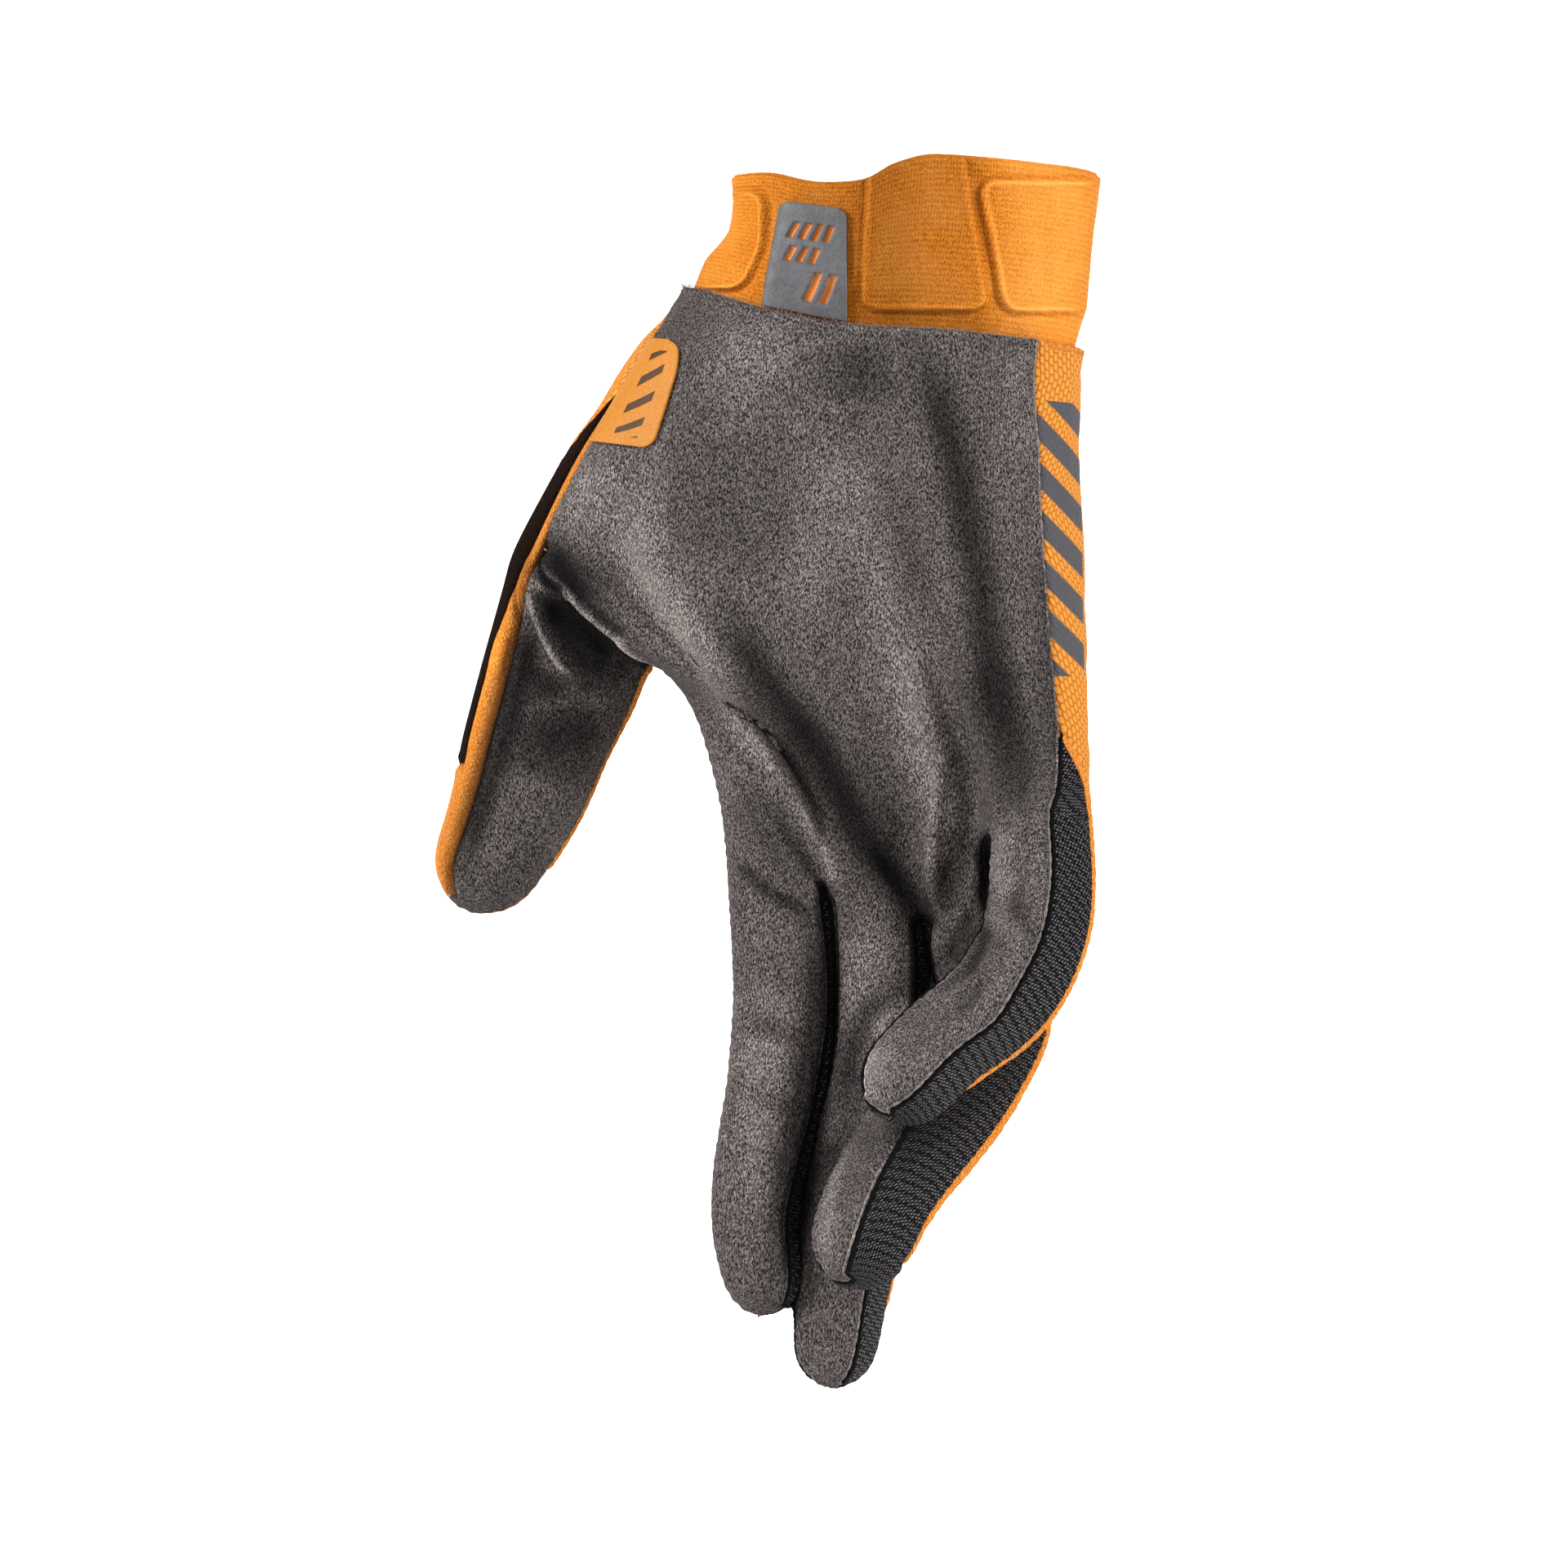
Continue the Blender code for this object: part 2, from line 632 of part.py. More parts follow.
def panel_solid(name, cage, normals, wall, material):
    """Makes a panel's faces into a closed solid: cut back at its seams and given its wall."""
    faces = [corners for corners, panel in cage.faces if panel == name]
    half_edges = {(f[k], f[(k + 1) % len(f)]): f for f in faces for k in range(len(f))}
    border = [edge for edge in half_edges if (edge[1], edge[0]) not in half_edges]
    inward = {}
    for a, b in border:
        along = (cage.points[b] - cage.points[a]).normalized()
        for n in (a, b):
            away = normals[n].cross(along).normalized()
            inward.setdefault(n, []).append(away)
    used = sorted({n for f in faces for n in f})
    order = {n: k for k, n in enumerate(used)}
    outer, inner = [], []
    for n in used:
        point = cage.points[n].copy()
        if n in inward:
            mean = sum(inward[n], Vector())
            reach = min(1.6, 2 / max(mean.length, 0.5)) if len(inward[n]) > 1 else 1
            point += mean.normalized() * (PIECE_GAP / 2 * reach)
        outer.append(point)
        lift = WEB_LIFT if n in cage.webs else 0
        inner.append(point - normals[n] * wall + Vector((0, 0, lift)))
    count = len(used)
    solid_faces = [[order[n] for n in f] for f in faces]
    solid_faces += [[order[n] + count for n in reversed(f)] for f in faces]
    for a, b in border:
        p, q = order[a], order[b]
        if a < b:
            solid_faces += [[p, p + count, q + count], [p, q + count, q]]
        else:
            solid_faces += [[q, p, p + count], [q, p + count, q + count]]
    return add_object(name, outer + inner, solid_faces, material)


def add_object(name, points, faces, material):
    """Adds a mesh object with its material, shaded smooth."""
    mesh = bpy.data.meshes.new(name)
    mesh.from_pydata([tuple(p) for p in points], [], faces)
    mesh.validate()
    mesh.materials.append(material)
    mesh.shade_smooth()
    obj = bpy.data.objects.new(name, mesh)
    bpy.context.scene.collection.objects.link(obj)
    return obj


def make_material(name, colour, roughness):
    """Returns a plain cloth material."""
    material = bpy.data.materials.new(name)
    material.use_nodes = True
    shader = material.node_tree.nodes["Principled BSDF"]
    shader.inputs["Base Color"].default_value = (*colour, 1)
    shader.inputs["Roughness"].default_value = roughness
    shader.inputs["Metallic"].default_value = 0
    return material


def in_step(value, low, high, soft):
    """Returns 1 well between low and high, 0 well outside, and a soft step at each end."""
    rise = min(1, max(0, (value - low) / soft + 0.5))
    fall = min(1, max(0, (high - value) / soft + 0.5))
    return rise * rise * (3 - 2 * rise) * fall * fall * (3 - 2 * fall)


def pad_height(degrees, rise):
    """Returns the relief of the padded fields at a place on the cuff."""
    return PAD_RELIEF * max(in_step(degrees, left, right, 6) * in_step(rise, low, high, 0.2)
                            for left, right, low, high in PADS)


def cuff_point(degrees, rise, out=0.0):
    """Returns a point of the cuff's outer face; rise is 0 at the seam and 1 at the upper edge."""
    middle, half_width, half_depth = spline(CUFF_SECTIONS, max(0, rise))
    clear = SUEDE_WALL + PIECE_GAP
    if rise > 0:
        clear *= max(0, 1 - 4 * rise)
    else:
        clear -= rise * TUCK_INSET
    s, p = ray_point(math.radians(degrees), WRIST_BOXINESS)
    reach = out - clear
    x = middle * WRIST_WIDTH / 2 + s * (half_width * WRIST_WIDTH / 2 + reach)
    y = -p * (half_depth * WRIST_DEPTH / 2 + reach)
    seam = -spline(SEAM_LINE, s)[0] * DOWN
    top = spline(CUFF_TOP_EDGE, s)[0] * CUFF_HEIGHT if p > 0 else CUFF_HEIGHT * 0.95
    z = seam + rise * (top - seam) if rise >= 0 else seam + rise * CUFF_TUCK
    return Vector((x, y, z))


def add_cuff(material):
    """Adds the knitted tube that ends inside the hand, with its padded fields."""
    rises = [-1.0, -0.5] + [k / (CUFF_ROWS - 2) for k in range(CUFF_ROWS - 1)]
    points, faces = [], []
    for wall in (0.0, CUFF_WALL):
        for rise in rises:
            for k in range(CUFF_COLUMNS):
                degrees = 360 * k / CUFF_COLUMNS - 180
                relief = pad_height(degrees, rise) if wall == 0 else 0
                points.append(cuff_point(degrees, rise, relief - wall))
    rows = len(rises)
    inner = rows * CUFF_COLUMNS
    for k in range(CUFF_COLUMNS):
        n = (k + 1) % CUFF_COLUMNS
        for r in range(rows - 1):
            a, b = r * CUFF_COLUMNS, (r + 1) * CUFF_COLUMNS
            faces.append([a + k, a + n, b + n, b + k])
            faces.append([inner + a + n, inner + a + k, inner + b + k, inner + b + n])
        faces.append([n, k, inner + k, inner + n])
        top = (rows - 1) * CUFF_COLUMNS
        faces.append([top + k, top + n, inner + top + n, inner + top + k])
    return add_object("cuff", points, faces, material)


def add_label(material):
    """Adds the rubber tab on the cuff's front, its upper corners rounded."""
    half = math.degrees(LABEL_WIDTH / WRIST_WIDTH)
    rows = 7
    points = []
    low, high = LABEL_ROWS
    for level in (PIECE_GAP + LABEL_THICKNESS, PIECE_GAP):
        for r in range(rows):
            t = r / (rows - 1)
            narrow = 1 - 0.16 * max(0, t - 0.8) / 0.2
            for c in range(LABEL_COLUMNS + 1):
                side = 2 * c / LABEL_COLUMNS - 1
                degrees = LABEL_MIDDLE + half * side * narrow * (1.12 - 0.14 * t)
                rise = low + (high - low) * t
                points.append(cuff_point(degrees, rise, level + pad_height(degrees, rise)))
    return add_object("cuff_label", points, plate_faces(rows, LABEL_COLUMNS, False), material)


def plate_faces(rows, columns, downwards):
    """Returns the faces of a plate: a grid of outer points, then the same grid of inner ones."""
    width = columns + 1
    back = rows * width
    faces = []
    for r in range(rows - 1):
        for c in range(columns):
            a = r * width + c
            faces.append([a, a + 1, a + width + 1, a + width])
            faces.append([back + a + 1, back + a, back + a + width, back + a + width + 1])
    for c in range(columns):
        top = (rows - 1) * width + c
        faces.append([c + 1, c, back + c, back + c + 1])
        faces.append([top, top + 1, back + top + 1, back + top])
    for r in range(rows - 1):
        a, b = r * width, r * width + columns
        faces.append([a, a + width, back + a + width, back + a])
        faces.append([b + width, b, back + b, back + b + width])
    return [face[::-1] for face in faces] if downwards else faces


def grid_value(cage, values, row, column):
    """Reads a list of values, one for each point, at a place between the palm's cage rows."""
    r, c = int(row), int(column)
    upper = values[cage.grid[r][c]].lerp(values[cage.grid[r][c + 1]], column - c)
    lower = values[cage.grid[r + 1][c]].lerp(values[cage.grid[r + 1][c + 1]], column - c)
    return upper.lerp(lower, row - r)


def add_patch(cage, normals, material):
    """Adds the thin patch that lies on the palm."""
    palm = [corners for corners, panel in cage.faces if panel == "palm_panel"]
    surface = BVHTree.FromPolygons(cage.points, palm)
    points = []
    for level in (2 * PIECE_GAP + PATCH_THICKNESS, 2 * PIECE_GAP):
        for row, left, right in PATCH:
            for c in range(PATCH_COLUMNS + 1):
                column = left + (right - left) * c / PATCH_COLUMNS
                nearest = surface.find_nearest(grid_value(cage, cage.points, row, column))[0]
                out = grid_value(cage, normals, row, column).normalized()
                points.append(nearest + out * level)
    return add_object("palm_patch", points, plate_faces(len(PATCH), PATCH_COLUMNS, True), material)


def main():
    for obj in list(bpy.data.objects):
        bpy.data.objects.remove(obj)
    suede = make_material("suede", (0.115, 0.098, 0.095), 0.9)
    orange_mesh = make_material("orange_mesh", (0.83, 0.36, 0.06), 0.75)
    dark_mesh = make_material("dark_mesh", (0.035, 0.033, 0.038), 0.8)
    wipe_cloth = make_material("wipe_cloth", (0.02, 0.012, 0.012), 0.9)
    cuff_knit = make_material("cuff_knit", (0.78, 0.28, 0.035), 0.8)
    rubber = make_material("rubber", (0.09, 0.088, 0.095), 0.55)
    print_orange = make_material("print_orange", (0.72, 0.33, 0.08), 0.5)

    cage = hand_cage()
    shape_palm(cage)
    normals = cage.normals()
    panels = {
        "palm_panel": (suede, SUEDE_WALL),
        "back_panel": (orange_mesh, MESH_WALL),
        "thumb_palm_panel": (suede, SUEDE_WALL),
        "thumb_side_panel": (orange_mesh, MESH_WALL),
        "thumb_wipe_panel": (wipe_cloth, SUEDE_WALL),
        "thumb_back_panel": (orange_mesh, MESH_WALL),
        "index_side_panel": (dark_mesh, MESH_WALL),
        "index_middle_fourchette": (dark_mesh, MESH_WALL),
        "middle_ring_fourchette": (dark_mesh, MESH_WALL),
        "ring_little_fourchette": (dark_mesh, MESH_WALL),
        "little_side_panel": (dark_mesh, MESH_WALL),
    }
    for name, (material, wall) in panels.items():
        panel_solid(name, cage, normals, wall, material)
    add_patch(cage, normals, print_orange)
    add_cuff(cuff_knit)
    add_label(rubber)


main()
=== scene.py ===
"""Looks of a mountain bike glove for the right hand, in the form that it has on a relaxed hand.

The palm faces -Y, the fingers hang down along -Z and the thumb points to -X. The origin is the
middle of the wrist, level with the seam that joins the cuff to the hand.
"""

import math

import bpy
import numpy as np
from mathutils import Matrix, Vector, noise
from mathutils.bvhtree import BVHTree
from mathutils.kdtree import KDTree


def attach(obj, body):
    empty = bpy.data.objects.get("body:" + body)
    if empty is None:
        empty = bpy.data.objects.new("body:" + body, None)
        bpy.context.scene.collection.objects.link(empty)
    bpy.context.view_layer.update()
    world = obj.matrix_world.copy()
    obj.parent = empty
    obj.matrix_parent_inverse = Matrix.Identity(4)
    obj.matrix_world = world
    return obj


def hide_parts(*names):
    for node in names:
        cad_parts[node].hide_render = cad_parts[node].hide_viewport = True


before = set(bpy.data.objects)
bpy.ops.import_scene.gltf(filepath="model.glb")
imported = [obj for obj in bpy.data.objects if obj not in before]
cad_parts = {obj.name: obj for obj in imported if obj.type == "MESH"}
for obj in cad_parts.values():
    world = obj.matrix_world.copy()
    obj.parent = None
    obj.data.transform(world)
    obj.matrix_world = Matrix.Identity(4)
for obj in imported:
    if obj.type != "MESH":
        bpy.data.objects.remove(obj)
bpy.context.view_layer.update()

# The view of the photograph: level with the hand, square to the palm, through a long lens that
# flattens the curled fingers.
EYE = Vector((-0.0177, -1.1, -0.0829))
LENS = 142
SENSOR = 36


def added(name, data):
    """Returns a new object in the scene that shows this data."""
    obj = bpy.data.objects.new(name, data)
    bpy.context.scene.collection.objects.link(obj)
    return obj


camera = added("camera", bpy.data.cameras.new("camera"))
camera.data.lens = LENS
camera.data.sensor_width = SENSOR
camera.location = EYE
camera.rotation_euler = (math.radians(90), 0, 0)
bpy.context.scene.camera = camera

# The worn form that all the sewn panels follow: one closed skin, branched into four fingers and
# a thumb, from tables of sections in shares of the hand. Each face belongs to one cut panel, and
# carries its place on the flat cloth in metres, so that knits keep their scale.
HAND_LENGTH = 0.190
FINGER_WIDTH = 0.016
FINGER_DEPTH = 0.019
WEB_GAP = 0.002
GUSSET = 0.003
WRIST_WIDTH = 0.071
WRIST_DEPTH = 0.046
THUMB_WIDTH = 0.028
THUMB_DEPTH = 0.022
TIP_ROUNDING = 0.0075
SIDE_BULGE = 0.0020
WRIST_BULGE = 0.0045
BULGE_ROWS = 4
PIPING_SHARES = [
    # row, shares of the side at which the ridge's outer neighbours lie
    (0, 0.44, 0.86),
    (3, 0.44, 0.86),
    (5, 0.42, 0.84),
    (14, 0.33, 0.67),
]
ACROSS = 4 * FINGER_WIDTH + 3 * WEB_GAP
DOWN = HAND_LENGTH
DEEP = FINGER_DEPTH
PALM_ROWS = 14
FINGER_STEPS = 4
SIDE_STEPS = 3
FINGER_RINGS = 10
THUMB_RINGS = 9
WIPE_RINGS = 6
THUMB_FIRST_ROW = 5
THUMB_LAST_ROW = 10
TIP_ANGLES = (35, 62)
BOXINESS = 4.0
THUMB_BOXINESS = 3.0
WRIST_BOXINESS = 2.2
PALM_COLUMNS = 4 * FINGER_STEPS + 3
ULNAR_BACK = PALM_COLUMNS + SIDE_STEPS
RADIAL_BACK = ULNAR_BACK + PALM_COLUMNS
COLUMNS = RADIAL_BACK + SIDE_STEPS
SMOOTHING = 3
PULLS = 2
PULL = 0.9

INDEX = [
    # across, down, deep, width, depth, roll, slant
    (-0.273, 0.514, -0.05, 1.00, 0.95, 5, 0.049),
    (-0.257, 0.566, -0.09, 1.09, 0.96, 7, 0.021),
    (-0.244, 0.642, -0.19, 1.14, 0.96, 10, 0.0),
    (-0.266, 0.717, -0.34, 1.08, 0.93, 11, 0.0),
    (-0.305, 0.785, -0.47, 1.00, 0.90, 12, 0.0),
    (-0.324, 0.844, -0.55, 0.90, 0.82, 12, 0.0),
    (-0.287, 0.927, -0.67, 0.76, 0.72, 12, 0.0),
]
MIDDLE = [
    # across, down, deep, width, depth, roll, slant
    (0.000, 0.559, -0.11, 0.96, 1.00, 15, 0.036),
    (0.014, 0.615, -0.20, 1.00, 1.02, 20, 0.011),
    (0.008, 0.687, -0.31, 0.99, 1.03, 24, 0.0),
    (-0.032, 0.755, -0.39, 1.00, 1.00, 26, 0.0),
    (-0.065, 0.830, -0.48, 0.98, 0.95, 26, 0.0),
    (-0.100, 0.894, -0.52, 0.90, 0.82, 25, 0.0),
    (-0.136, 0.996, -0.53, 0.76, 0.66, 24, 0.0),
]
RING = [
    # across, down, deep, width, depth, roll, slant
    (0.233, 0.532, -0.32, 0.93, 0.98, 30, -0.074),
    (0.257, 0.584, -0.38, 0.98, 1.02, 34, -0.037),
    (0.282, 0.629, -0.50, 0.97, 1.02, 42, -0.011),
    (0.241, 0.678, -0.76, 0.98, 1.01, 48, 0.0),
    (0.167, 0.722, -1.06, 0.98, 1.00, 52, 0.0),
    (0.065, 0.771, -1.36, 0.95, 0.96, 54, 0.0),
    (-0.014, 0.814, -1.56, 0.92, 0.88, 53, 0.0),
    (-0.110, 0.891, -1.82, 0.82, 0.72, 48, 0.0),
]
LITTLE = [
    # across, down, deep, width, depth, roll, slant
    (0.385, 0.481, -1.10, 0.88, 0.86, 42, -0.016),
    (0.384, 0.534, -1.27, 0.93, 0.88, 42, 0.0),
    (0.361, 0.578, -1.46, 0.95, 0.88, 44, 0.0),
    (0.305, 0.617, -1.64, 0.95, 0.88, 46, 0.0),
    (0.235, 0.644, -1.81, 0.95, 0.84, 46, 0.0),
    (0.140, 0.669, -1.97, 0.95, 0.78, 46, 0.0),
    (-0.030, 0.731, -2.25, 0.92, 0.66, 44, 0.0),
]
THUMB = [
    # across, down, deep, width, depth, roll, slant
    (-0.742, 0.278, 0.00, 1.00, 1.00, -8, 0.053),
    (-0.791, 0.311, 0.00, 0.98, 0.95, -8, 0.032),
    (-0.841, 0.353, -0.03, 0.95, 0.93, -8, 0.011),
    (-0.884, 0.395, -0.08, 0.90, 0.91, -8, 0.0),
    (-0.922, 0.440, -0.13, 0.84, 0.86, -8, 0.0),
    (-0.965, 0.478, -0.16, 0.75, 0.80, -8, 0.0),
    (-1.062, 0.552, -0.24, 0.56, 0.64, -8, 0.0),
]
INDEX_CORNERS = (-85, 54, 135, 235, 275)
MIDDLE_CORNERS = (-45, 53, 135, 225, 315)
RING_CORNERS = (-45, 45, 135, 225, 315)
LITTLE_CORNERS = (-36, 58, 135, 225, 324)
THUMB_CORNERS = (-38, 72, 120, 235, 322)
WRIST_CORNERS = (-98, 46, 112, 248, 262)
THUMB_RIDGE_TURN = 7
THUMB_ROOT_BLEND = (0.7, 0.35, 0.12)
RADIAL_EDGES = [
    # row, then across, down and deep of the palm's edge and of the back's
    (1, -0.583, 0.025, -0.26, -0.597, 0.015, 0.47),
    (2, -0.654, 0.071, -0.37, -0.675, 0.059, 0.53),
    (3, -0.730, 0.117, -0.45, -0.763, 0.104, 0.53),
    (4, -0.803, 0.167, -0.47, -0.846, 0.153, 0.50),
    (5, -0.880, 0.226, -0.42, -0.928, 0.212, 0.37),
    (6, -0.843, 0.252, -0.58, -0.890, 0.241, 0.50),
    (7, -0.785, 0.277, -0.68, -0.822, 0.265, 0.58),
    (8, -0.719, 0.297, -0.71, -0.751, 0.289, 0.58),
    (9, -0.650, 0.313, -0.61, -0.675, 0.310, 0.53),
    (10, -0.580, 0.326, -0.37, -0.589, 0.329, 0.45),
    (11, -0.496, 0.354, -0.21, -0.482, 0.352, 0.42),
    (12, -0.443, 0.400, -0.16, -0.420, 0.394, 0.42),
    (13, -0.410, 0.452, -0.16, -0.382, 0.448, 0.39),
]
ULNAR_EDGES = [
    # row, then across, down and deep of the palm's edge and of the back's
    (1, 0.367, 0.061, -0.76, 0.503, 0.054, 0.42),
    (3, 0.378, 0.123, -0.66, 0.501, 0.118, 0.32),
    (6, 0.394, 0.219, -0.66, 0.510, 0.216, 0.21),
    (9, 0.419, 0.316, -0.82, 0.512, 0.314, 0.00),
    (11, 0.437, 0.386, -1.03, 0.512, 0.385, -0.37),
    (12, 0.435, 0.416, -1.18, 0.512, 0.415, -0.58),
    (13, 0.423, 0.445, -1.37, 0.512, 0.446, -0.82),
]
SEAM_LINE = [
    # across the wrist's half width, down
    (-1.0, -0.027),
    (-0.6, 0.0),
    (-0.2, 0.015),
    (0.3, 0.020),
    (0.72, 0.027),
    (1.0, 0.032),
]
SWELLINGS = [
    # across, down, half across, half down, height
    (-0.38, 0.19, 0.26, 0.14, 0.30),
    (0.20, 0.16, 0.20, 0.16, 0.16),
    (-0.02, 0.28, 0.16, 0.10, -0.14),
    (-0.25, 0.42, 0.14, 0.06, 0.14),
]
FOLDS = [
    # from across, down, to across, down, height, half width
    (-0.33, 0.40, -0.13, 0.535, 0.075, 0.030),
    (-0.10, 0.47, 0.05, 0.545, -0.060, 0.030),
    (-0.36, 0.51, -0.20, 0.555, -0.050, 0.025),
    (0.13, 0.47, 0.11, 0.545, 0.050, 0.030),
    (-0.25, 0.06, -0.16, 0.18, -0.060, 0.060),
    (0.15, 0.24, 0.36, 0.42, -0.060, 0.060),
    (-0.86, 0.21, -0.74, 0.285, -0.070, 0.035),
    (-0.89, 0.25, -0.79, 0.34, 0.060, 0.025),
]


def clamp(value):
    """Returns a number, kept between 0 and 1."""
    return min(1, max(0, value))


def place(across, down, deep):
    """Returns the point at shares of the glove's three units."""
    return Vector((across * ACROSS, deep * DEEP, -down * DOWN))


def spline(table, at):
    """Reads a table of rows, whose first column rises, at one place, on a smooth curve."""
    if at <= table[0][0]:
        return list(table[0][1:])
    if at >= table[-1][0]:
        return list(table[-1][1:])
    i = max(k for k in range(len(table) - 1) if table[k][0] <= at)
    a, b = table[i], table[i + 1]
    before, after = table[max(i - 1, 0)], table[min(i + 2, len(table) - 1)]
    span = b[0] - a[0]
    t = (at - a[0]) / span
    values = []
    for c in range(1, len(a)):
        into = (b[c] - before[c]) / (b[0] - before[0]) * span
        out = (after[c] - a[c]) / (after[0] - a[0]) * span
        values.append((2 * t**3 - 3 * t**2 + 1) * a[c] + (t**3 - 2 * t**2 + t) * into
                      + (3 * t**2 - 2 * t**3) * b[c] + (t**3 - t**2) * out)
    return values


def ray_point(angle, boxiness):
    """Returns the point of a unit rounded square that a ray at this angle meets."""
    s, c = math.sin(angle), math.cos(angle)
    reach = (abs(s) ** boxiness + abs(c) ** boxiness) ** (-1 / boxiness)
    return s * reach, c * reach


def ring_angles(ends, steps):
    """Returns a ring's angles in radians: palmar side, little side, back and thumb side."""
    return [math.radians(a + (b - a) * k / count)
            for a, b, count in zip(ends, ends[1:], (steps, SIDE_STEPS, steps, SIDE_STEPS))
            for k in range(count)]


def section(centre, tangent, width, depth, roll, slant, angles, boxiness):
    """Returns the points of one ring of a finger or the thumb."""
    turn = math.radians(roll)
    palmar = Vector((-math.sin(turn), -math.cos(turn), 0))
    palmar = (palmar - tangent * palmar.dot(tangent)).normalized()
    little = palmar.cross(tangent).normalized()
    points = []
    for angle in angles:
        s, p = ray_point(angle, boxiness)
        shift = tangent * (slant * s / 2)
        points.append(centre + little * (s * width / 2) + palmar * (p * depth / 2) + shift)
    return points


def finger_rings(table, width, depth, angles, boxiness, count):
    """Lofts a finger from its socket to its rounded tip and returns the rings and the tip."""
    centres = [place(*row[:3]) for row in table]
    lengths = [0.0]
    for a, b in zip(centres, centres[1:]):
        lengths.append(lengths[-1] + (b - a).length)
    rows = [(length, *centre, *row[3:]) for length, centre, row in zip(lengths, centres, table)]
    straight = lengths[-1] - TIP_ROUNDING
    stops = [(straight * k / count, 1.0) for k in range(count + 1)]
    for degrees in TIP_ANGLES:
        turn = math.radians(degrees)
        stops.append((straight + TIP_ROUNDING * math.sin(turn), math.cos(turn)))
    rings = []
    step = TIP_ROUNDING / 4
    for at, scale in stops:
        x, y, z, w, d, roll, slant = spline(rows, at)
        ahead = Vector(spline(rows, at + step)[:3])
        behind = Vector(spline(rows, at - step)[:3])
        tangent = (ahead - behind).normalized()
        rings.append(section(Vector((x, y, z)), tangent, w * width * scale, d * depth * scale,
                             roll, slant * DOWN, angles, boxiness))
    return rings, centres[-1]


def measured(rings):
    """Returns how far each point of a stack of rings lies round its ring and down its column."""
    p = np.array([[tuple(point) for point in ring] for ring in rings])
    p = np.concatenate([p, p[:, :1]], axis=1)
    around = np.zeros(p.shape[:2])
    around[:, 1:] = np.cumsum(np.linalg.norm(np.diff(p, axis=1), axis=2), axis=1)
    down = np.zeros(p.shape[:2])
    down[1:] = np.cumsum(np.linalg.norm(np.diff(p, axis=0), axis=2), axis=0)
    return around, down


class Form:
    """The worn form: points, and faces that each have a panel and a place on its flat cloth."""

    def __init__(self):
        self.points, self.faces, self.panels, self.flat = [], [], [], []

    def add(self, point):
        self.points.append(point)
        return len(self.points) - 1

    def face(self, corners, panel, flat):
        self.faces.append(tuple(corners))
        self.panels.append(panel)
        self.flat.append(tuple(flat))

    def cut(self, corners, flat, past, panel, halves):
        """Adds a face past the back panel's border, before it, or cut in two by it."""
        if past:
            self.face(corners, panel if past > 0 else "back_panel", flat)
            return
        for name, keep in zip((panel, "back_panel"), halves):
            self.face([corners[k] for k in keep], name, [flat[k] for k in keep])

    def loft(self, rings, panel_of, start_of):
        """Joins rings of point numbers; start_of says where a column's cloth begins."""
        around, down = measured([[self.points[n] for n in ring] for ring in rings])
        for j in range(len(rings) - 1):
            a, b = rings[j], rings[j + 1]
            for k in range(len(a)):
                n = (k + 1) % len(a)
                u, v = start_of(k)
                flat = [(u + around[i][m], v + down[i][m])
                        for i, m in ((j, k), (j + 1, k), (j + 1, k + 1), (j, k + 1))]
                self.face((a[k], b[k], b[n], a[n]), panel_of(j, k), flat)
        return around, down

    def cap(self, ring, steps, tip, panels, around, down):
        """Closes a fingertip with a domed grid of faces, whose rows go to the named panels."""
        grid = {}
        for k in range(steps):
            grid[(k, 0)] = ring[k]
            grid[(steps - k, SIDE_STEPS)] = ring[steps + SIDE_STEPS + k]
        for k in range(SIDE_STEPS):
            grid[(steps, k)] = ring[steps + k]
            grid[(0, SIDE_STEPS - k)] = ring[2 * steps + SIDE_STEPS + k]
        middle = sum((self.points[n] for n in ring), Vector()) / len(ring)
        for i in range(1, steps):
            for j in range(1, SIDE_STEPS):
                u, v = i / steps, j / SIDE_STEPS
                low, high = self.points[grid[(i, 0)]], self.points[grid[(i, SIDE_STEPS)]]
                left, right = self.points[grid[(0, j)]], self.points[grid[(steps, j)]]
                flat = (low.lerp(high, v) + left.lerp(right, u)) / 2
                rise = 1 - max(abs(2 * u - 1), abs(2 * v - 1)) ** 2
                grid[(i, j)] = self.add(flat + (tip - middle) * rise)
        spot = {}
        for i in range(steps + 1):
            reach = 0.0
            for j in range(SIDE_STEPS + 1):
                if j:
                    reach += (self.points[grid[(i, j)]] - self.points[grid[(i, j - 1)]]).length
                spot[(i, j)] = (around[-1][i], down[-1][i] + reach)
        for i in range(steps):
            for j in range(SIDE_STEPS):
                keys = ((i, j), (i, j + 1), (i + 1, j + 1), (i + 1, j))
                self.face([grid[key] for key in keys], panels[j], [spot[key] for key in keys])

    def normals(self):
        """Returns each point's outward direction on the whole surface."""
        normals = [Vector() for _ in self.points]
        for corners in self.faces:
            p = [self.points[n] for n in corners]
            if len(p) == 3:
                normal = (p[1] - p[0]).cross(p[2] - p[0])
            else:
                normal = (p[2] - p[0]).cross(p[3] - p[1])
            for n in corners:
                normals[n] += normal.normalized()
        return [normal.normalized() for normal in normals]


def wrist_ring():
    """Returns the ring at the wrist's seam, with a point for each of the hand's columns."""
    points = []
    for angle in ring_angles(WRIST_CORNERS, PALM_COLUMNS):
        s, p = ray_point(angle, WRIST_BOXINESS)
        down = spline(SEAM_LINE, s)[0] * DOWN
        points.append(Vector((s * WRIST_WIDTH / 2, -p * WRIST_DEPTH / 2, -down)))
    return points


